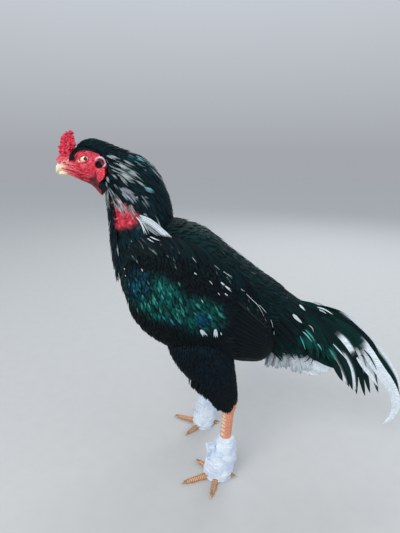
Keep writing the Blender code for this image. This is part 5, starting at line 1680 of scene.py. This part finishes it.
def ellipsoid(middle, radii, steps=14):
    """A closed round lump."""
    down = np.linspace(0.12, math.pi - 0.12, steps)[:, None]
    turn = np.linspace(0, 2 * math.pi, 2 * steps, endpoint=False)
    grid = np.stack([np.sin(down) * np.cos(turn), np.sin(down) * np.sin(turn), np.cos(down) + 0 * turn], -1)
    points = np.vstack([grid.reshape(-1, 3), (0, 0, 1), (0, 0, -1)])
    return np.asarray(middle) + points * np.asarray(radii), outward(points, tube_faces(steps, 2 * steps))


def lumps_piece(name, lumps, material):
    """Many closed lumps as one mesh object."""
    starts = np.cumsum([0] + [len(points) for points, _ in lumps])
    faces = [np.vstack([made[kind] + start for (_, made), start in zip(lumps, starts)]) for kind in (0, 1)]
    return mesh_piece(name, np.vstack([points for points, _ in lumps]), faces, material)


def wart_tree(wart):
    """Strews copies of a small wart over a surface and keeps both, as one set of geometry nodes."""
    tree = bpy.data.node_groups.new("strewn_warts", "GeometryNodeTree")
    for name in ("Blade", *WARTS, "Warty"):
        kind = {"Blade": "Geometry", "Warty": "Geometry", "Seed": "Int"}.get(name, "Float")
        way = "OUTPUT" if name == "Warty" else "INPUT"
        tree.interface.new_socket(name, in_out=way, socket_type="NodeSocket" + kind)

    def tied(kind, **settings):
        return fill(tree.nodes.new(kind), **settings)

    take = tied("NodeGroupInput").outputs
    strew = tied("GeometryNodeDistributePointsOnFaces", Mesh=take["Blade"],
                 Density=take["Warts per square metre"], Seed=take["Seed"]).outputs
    size = tied("FunctionNodeRandomValue", in_2=take["Smallest wart"], in_3=take["Largest wart"],
                Seed=take["Seed"])
    shape = tied("GeometryNodeObjectInfo", Object=wart).outputs["Geometry"]
    copies = tied("GeometryNodeInstanceOnPoints", Points=strew["Points"], Instance=shape,
                  Rotation=strew["Rotation"], Scale=size.outputs[1])
    real = tied("GeometryNodeRealizeInstances", Geometry=copies.outputs["Instances"])
    both = fill(tied("GeometryNodeJoinGeometry", Geometry=take["Blade"]), Geometry=real.outputs["Geometry"])
    finish = tied("GeometryNodeSetMaterial", Geometry=both.outputs["Geometry"], Material=comb_finish)
    tied("NodeGroupOutput", Warty=finish.outputs["Geometry"])
    return tree


def warty(made, tree, name):
    """The piece with its warts, drawn together into one skin."""
    strewn = made.modifiers.new("warts", "NODES")
    strewn.node_group = tree
    for item in tree.interface.items_tree:
        if item.name in WARTS:
            strewn[item.identifier] = WARTS[item.name]
    skinned = made.modifiers.new("one_skin", "REMESH")
    skinned.mode, skinned.voxel_size, skinned.use_smooth_shade = "VOXEL", COMB_VOXEL, True
    soft = made.modifiers.new("soft", "SMOOTH")
    soft.factor, soft.iterations = 0.5, 2
    finished = plain_mesh(made, name)
    bpy.data.objects.remove(made)
    one_finish(finished, comb_finish)
    return finished


def flesh_finish(name, dark, bright, pale_foot):
    """Soft red flesh with darker and lighter blood, fine grit, and a paler foot where one is asked for."""
    made, nodes, shader = plain_material(name)
    place = object_place(nodes)
    blood = add_node(nodes, "TexNoise", Scale=260.0, Detail=5.0, Vector=place).outputs["Fac"]
    grit = add_node(nodes, "TexVoronoi", Scale=1100.0, Vector=place).outputs["Distance"]
    level = add_node(nodes, "SeparateXYZ", Vector=place).outputs["Z"]
    foot = ranged(nodes, level, 0.0, pale_foot, 0.594, 0.584)
    tone = ramp(nodes, blood, (0.34, dark), (0.66, bright))
    fill(
        shader,
        Base_Color=blended(nodes, foot, tone, (0.88, 0.26, 0.30, 1)),
        Roughness=ranged(nodes, blood, 0.36, 0.60),
        Normal=bumped(nodes, grit, 0.4, 0.0004),
        Subsurface_Weight=0.15,
        Subsurface_Radius=(0.004, 0.001, 0.001),
        Specular_IOR_Level=0.4,
    )
    return made


comb_finish = flesh_finish("comb_flesh", (0.34, 0.004, 0.022), (0.82, 0.035, 0.085), 0.75)
x, y, z, *radii = COMB_BLADE
lumps = [ellipsoid((x, y, z), radii)]
for x, z, radius in COMB_POINTS:
    lumps.append(ellipsoid((x, 0.0, z), (radius, 3.2, radius * 1.15), 10))
for side in (-1, 1):
    for x, z, radius in COMB_SIDES:
        lumps.append(ellipsoid((x, side * 4.2, z), (radius, 2.6, radius * 1.3), 10))
    for x, z, radius in COMB_FOOT:
        middle = (x, side * (3.4 + 0.25 * (595 - z)), z - 2.0)
        lumps.append(ellipsoid(middle, (radius, 3.4, radius * 1.1), 10))
blade = lumps_piece("comb_blade", lumps, comb_finish)
wart = lumps_piece("wart", [ellipsoid(-PLACE, (1, 1, 1), 6)], comb_finish)
comb = warty(blade, wart_tree(wart), "comb")
bpy.data.objects.remove(wart)
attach(comb, "root")
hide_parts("comb")


# The ear lobes: thin red folds that hang behind the jaw, puckered along their edge.
LOBE = ((-163.5, 575, 4.4), (-163.2, 571, 6.6), (-163.2, 565, 6.9), (-164.5, 558, 5.6), (-167, 551.5, 1.8))
LOBE_RINGS = 60
lobe_finish = flesh_finish("lobe_flesh", (0.50, 0.006, 0.030), (0.92, 0.10, 0.15), 0.0)


def pucker(points, outs):
    """Wrinkled flesh with a crease down the lobe's middle."""
    wander = grain_of(points, 5, 3, 8.0)
    crease = np.exp(-(((points[:, 0] + 163.5 + 0.12 * (points[:, 2] - 562) + wander) / 1.1) ** 2))
    return points + outs * (wander + (0.5 - cells_of(points, 2.2)) * 0.9 - 1.6 * crease)[:, None]


for side, name in ((-1, "lobe_left"), (1, "lobe_right")):
    x, z, radius = smooth(LOBE, LOBE_RINGS).T
    nought = np.zeros(LOBE_RINGS)
    form = Form(np.stack([x, nought + side * 24.5, z], 1), np.stack([-radius, nought, nought], 1),
                np.stack([nought, side * radius * 0.45, nought], 1))
    made = tube_piece(name, form.rounded(0.2, 0.3), LOBE_RINGS, 64, pucker, lobe_finish)
    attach(made, "root")
    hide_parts(name)


# The legs: round shanks with broad overlapping scutes down the front and small plates behind, in
# flesh pink and orange, and toes of the same scales over soft pads, ending in horn claws.
SHANK = (
    (55, -73, 182, 9, 8),
    (54.5, -73, 173, 11.5, 10),
    (53.5, -73, 160, 12.5, 11),
    (51.5, -72.5, 146, 10.5, 9.5),
    (50, -72, 125, 9.7, 8.8),
    (48, -71, 98, 9.7, 8.8),
    (43, -69, 58, 10, 9.5),
    (36, -66.5, 22, 12, 11.5),
    (34, -66, 10, 14, 14),
    (34, -66, 0, 12.5, 12.5),
)
TOES = {"inner": (-40, 48, 6.0), "middle": (20, 66, 6.6), "outer": (76, 54, 6.0), "back": (168, 30, 5.2)}
RIGHT_TOES = {"inner": -44, "middle": 23, "outer": 72, "back": 170}
TOE_START = 9.5
CLAW_LENGTH = 14
SCALE_GAP = {"shank": 6.4, "toe": 4.2}
PINK, ORANGE, CREAM, TAN = (
    np.array(c) for c in ((0.74, 0.25, 0.17), (0.70, 0.30, 0.13), (0.80, 0.58, 0.42), (0.46, 0.25, 0.13))
)
CLAW_ROOT, CLAW_TIP = np.array((0.30, 0.17, 0.09)), (0.62, 0.48, 0.32)
scale_finish, nodes, shader = plain_material("leg_scales")
colour = add_node(nodes, "Attribute", attribute_name="scale_colour").outputs["Color"]
mottle = add_node(nodes, "TexNoise", Scale=380.0, Detail=4.0, Vector=object_place(nodes)).outputs["Fac"]
fill(
    shader,
    Base_Color=scaled(nodes, colour, ranged(nodes, mottle, 0.74, 1.2, 0.3, 0.7)),
    Roughness=ranged(nodes, mottle, 0.36, 0.58),
    Normal=bumped(nodes, mottle, 0.3, 0.0003),
    Subsurface_Weight=0.05,
    Subsurface_Radius=(0.003, 0.0015, 0.001),
)


def leg_form(table, right, count=200):
    made = limb_form(table, count)
    return made.right(RIGHT_FOOT_FORWARD, RIGHT_STANCE) if right else made


def scales_at(run, angle, gap, front):
    """Height of broad scutes in front and small plates elsewhere. angle is 0 in front, run in millimetres."""
    broad = np.exp(-((angle / front) ** 6))
    step = (run / gap) % 1.0
    scute = 0.75 * step**0.7 - 0.6 * np.exp(-(((step - 1) / 0.13) ** 2)) - 0.6 * np.exp(-((step / 0.13) ** 2))
    split = -0.5 * np.exp(-((angle / 5) ** 2))
    row = np.floor(run / (gap * 0.55))
    small = (run / (gap * 0.55)) % 1.0
    cell = (angle / 24 + 0.5 * (row % 2)) % 1.0
    plate = 0.35 * (1 - (2 * small - 1) ** 6) * (1 - (2 * cell - 1) ** 6)
    return broad * (scute + split) + (1 - broad) * plate


def scaly_piece(name, form, shape, length, gap, front, depth, sole=181):
    """The form under scales, level on the floor. Returns it, and the run, angle and height of its points."""
    along, angle = round_grid(*shape)
    turned = (angle + 180) % 360 - 180
    height = scales_at(length * along, turned, gap, front) * depth * (abs(turned) < sole)
    points = form.at(along, angle) + form.out(along, angle) * height[..., None]
    points[..., 2] = np.maximum(points[..., 2], 0)
    return closed_piece(name, points, scale_finish), length * along, turned, height


def on_floor(points, outs):
    points[:, 2] = np.maximum(points[:, 2], 0)
    return points


def flat_lying(foot, ahead, run, level, tall, half_width):
    """A form that runs out over the floor from the foot, at these levels and with these half axes."""
    middles = foot + ahead * run[:, None]
    middles[:, 2] = level
    return Form(middles, tall[:, None] * (0, 0, 1), np.array((-ahead[1], ahead[0], 0)) * half_width[:, None])


for right, side in ((False, "left"), (True, "right")):
    form = leg_form(SHANK, right)
    name = "shank_" + side
    made, run, turned, height = scaly_piece(name, form, (330, 84), 182, SCALE_GAP["shank"], 62, 1.5)
    high = rise(height, -0.1, 0.5)
    tones = mix(mix(PINK * 0.42, PINK, high), ORANGE * 1.05, rise(abs(turned), 60, 110) * 0.6)
    # A painted highlight in cream along the tops of the scutes, a little to one side of the front.
    painted_highlight_line = np.exp(-(((turned - (38 if right else -38)) / 30) ** 2))
    store_colour(made, "scale_colour", mix(tones, CREAM * 1.15, painted_highlight_line * high * 0.95))
    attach(made, "root")
    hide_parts(name)

    foot = form.middles[-1] * (1, 1, 0)
    for toe, (heading, length, radius) in TOES.items():
        turn = math.radians(RIGHT_TOES[toe] if right else heading)
        ahead = np.array((-math.cos(turn), (1 if right else -1) * math.sin(turn), 0))
        t = np.linspace(0, 1, 110)
        pads = 1 + 0.09 * np.cos(2 * math.pi * t * (2 if toe == "back" else 3))
        tall = radius * (1.05 - 0.45 * t)
        toe_form = flat_lying(foot, ahead, TOE_START + (length - TOE_START) * t, tall * 0.6, tall,
                              radius * (1 - 0.38 * t) * pads).rounded(0.03, 0.14)
        name = f"toe_{toe}_{side}"
        gap = SCALE_GAP["toe"]
        made, run, turned, height = scaly_piece(name, toe_form, (110, 56), length, gap, 70, 1.3, 150)
        # The tops of the scales carry a painted highlight, and the gaps between them are darker.
        tones = mix(TAN * 0.22, TAN * 1.5, rise(rise(height, -0.1, 0.4), 0.25, 0.85))
        joint = np.minimum(run % gap, gap - run % gap)
        tones = mix(tones, TAN * 0.25, 0.75 * (1 - rise(joint, 0.35, 0.9)) * (abs(turned) < 100))
        store_colour(made, "scale_colour", mix(tones, CREAM * 0.75, rise(abs(turned), 110, 150) * 0.7))
        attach(made, "root")
        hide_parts(name)

        t = np.linspace(0, 1, 40)
        thick = 2.5 * (1 - t) ** 0.7 + 0.35
        reach = length - 5 + CLAW_LENGTH * np.sin(t * 1.35)
        claw_form = flat_lying(foot, ahead, reach, 4.6 - 3.7 * t**2, thick, thick * 0.8)
        name = f"claw_{toe}_{side}"
        made = tube_piece(name, claw_form, 40, 24, on_floor, horn_finish)
        far = np.linalg.norm(points_of(made)[:, :2] - foot[:2], axis=1)
        store_colour(made, "horn_colour", mix(CLAW_ROOT, CLAW_TIP, rise(far, length, length + 9)))
        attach(made, "root")
        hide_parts(name)


# The bandages: strips of thin white cotton wound round each shank and foot in overlapping turns,
# thick over the spur, with soft folds, frayed edges and one loose end on the left leg.
BANDAGE = (
    (48, -71, 92, 13.5, 12.5),
    (48, -71, 86, 15.5, 14.5),
    (45, -70.5, 72, 20, 17),
    (42, -69.5, 55, 25, 19),
    (39, -68, 38, 27, 20.5),
    (36, -66.5, 20, 26.5, 22),
    (34, -66, 7, 25.5, 22.5),
    (34, -66, 0, 24, 21.5),
)
STRIP_WIDTH = 15.5
THREAD = 0.9
FLAP_LONG, FLAP_WIDE = 40, 26
FLAP_SPINE = ((24, -76, 40), (18, -80, 50), (18, -82, 66), (16, -83, 84))
cotton_finish, nodes, shader = plain_material("white_cotton")
strip = add_node(nodes, "Attribute", attribute_name="strip").outputs["Vector"]
threads = []
for way in list(add_node(nodes, "SeparateXYZ", Vector=strip).outputs)[:2]:
    pitch = add_node(nodes, "Math", operation="MULTIPLY", in_0=way, in_1=2 * math.pi / THREAD)
    threads.append(add_node(nodes, "Math", operation="SINE", in_0=pitch.outputs["Value"]).outputs["Value"])
weave = add_node(nodes, "Math", operation="MAXIMUM", in_0=threads[0], in_1=threads[1]).outputs["Value"]
grime = add_node(nodes, "TexNoise", Scale=60.0, Detail=6.0, Vector=object_place(nodes)).outputs["Fac"]
fill(
    shader,
    Base_Color=ramp(nodes, grime, (0.32, (0.56, 0.68, 0.88)), (0.62, (0.80, 0.88, 0.97))),
    Roughness=ranged(nodes, grime, 0.82, 0.98),
    Normal=bumped(nodes, weave, 0.5, 0.0003),
    Sheen_Weight=0.3,
    Sheen_Roughness=0.6,
    Specular_IOR_Level=0.15,
)

for right, side, slim in ((False, "left", 1.0), (True, "right", 0.86)):
    form = leg_form([(*row[:3], row[3] * slim, row[4] * slim) for row in BANDAGE], right)
    along, angle = round_grid(170, 200)
    points, outs = form.at(along, angle), form.out(along, angle)
    slope = 14 * np.sin(np.radians(angle + 40)) + 4 * np.sin(np.radians(3 * angle + 10))
    wander = grain_of(points.reshape(-1, 3), 16, 3, 2.0 + right).reshape(along.shape)
    run = 92 * along + slope * 0.5 + wander * 3
    turn = run / STRIP_WIDTH
    step = turn % 1.0
    edge = 1.5 * (1 - rise(step, 0.0, 0.94)) - 0.9 * rise(step, 0.94, 0.98)
    folds = 0.7 * np.sin(angle / 11 + wander * 5 + np.floor(turn) * 2.4) * (0.4 + 0.6 * (1 - step))
    points += outs * ((edge + folds + wander * 1.6) * rise(along, 0, 0.05))[..., None]
    points[..., 2] = np.maximum(points[..., 2], 0)
    made = closed_piece("bandage_" + side, points, cotton_finish)
    strip_at = np.stack([angle * 0.35, run, np.floor(turn)], -1)
    store(made, "strip", np.vstack([strip_at.reshape(-1, 3), strip_at[[0, -1], 0]]))
    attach(made, "root")
    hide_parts("bandage_" + side)

# The loose end: a short creased strip that stands out in front of the left leg.
u, v = np.meshgrid(np.linspace(0, 1, FLAP_LONG), np.linspace(0, 1, FLAP_WIDE), indexing="ij")
width = np.interp(u[:, :1], (0, 0.45, 0.8, 1), (17, 12, 15, 16))
bend = np.stack([(v - 0.35) * width, -2 * np.sin(v * 5 + u * 3), 3 * v * u], -1)
middle = smooth(FLAP_SPINE, FLAP_LONG)[:, None] + bend
crinkle = grain_of(middle.reshape(-1, 3), 5, 3, 6.0).reshape(u.shape)
middle[..., 1] += crinkle * 2.2
middle[..., 0] += crinkle * 1.2 * (v - 0.5)
total = FLAP_LONG * FLAP_WIDE
at = np.arange(total).reshape(u.shape)
quads = np.stack([at[:-1, :-1], at[1:, :-1], at[1:, 1:], at[:-1, 1:]], -1).reshape(-1, 4)
border = np.concatenate([at[0, :-1], at[:-1, -1], at[-1, :0:-1], at[:0:-1, 0], at[0, :1]])
walls = np.stack([border[:-1], border[1:], border[1:] + total, border[:-1] + total], 1)
points = np.vstack([(middle - (0, 0.35, 0)).reshape(-1, 3), (middle + (0, 0.35, 0)).reshape(-1, 3)])
faces = outward(points - points.mean(0), [np.vstack([quads, quads[:, ::-1] + total, walls])])
flap = mesh_piece("bandage_end", points, faces, cotton_finish)
strip_at = np.stack([v * 15, u * 48, 0 * u], -1).reshape(-1, 3)
store(flap, "strip", np.vstack([strip_at, strip_at]))
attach(flap, "root")
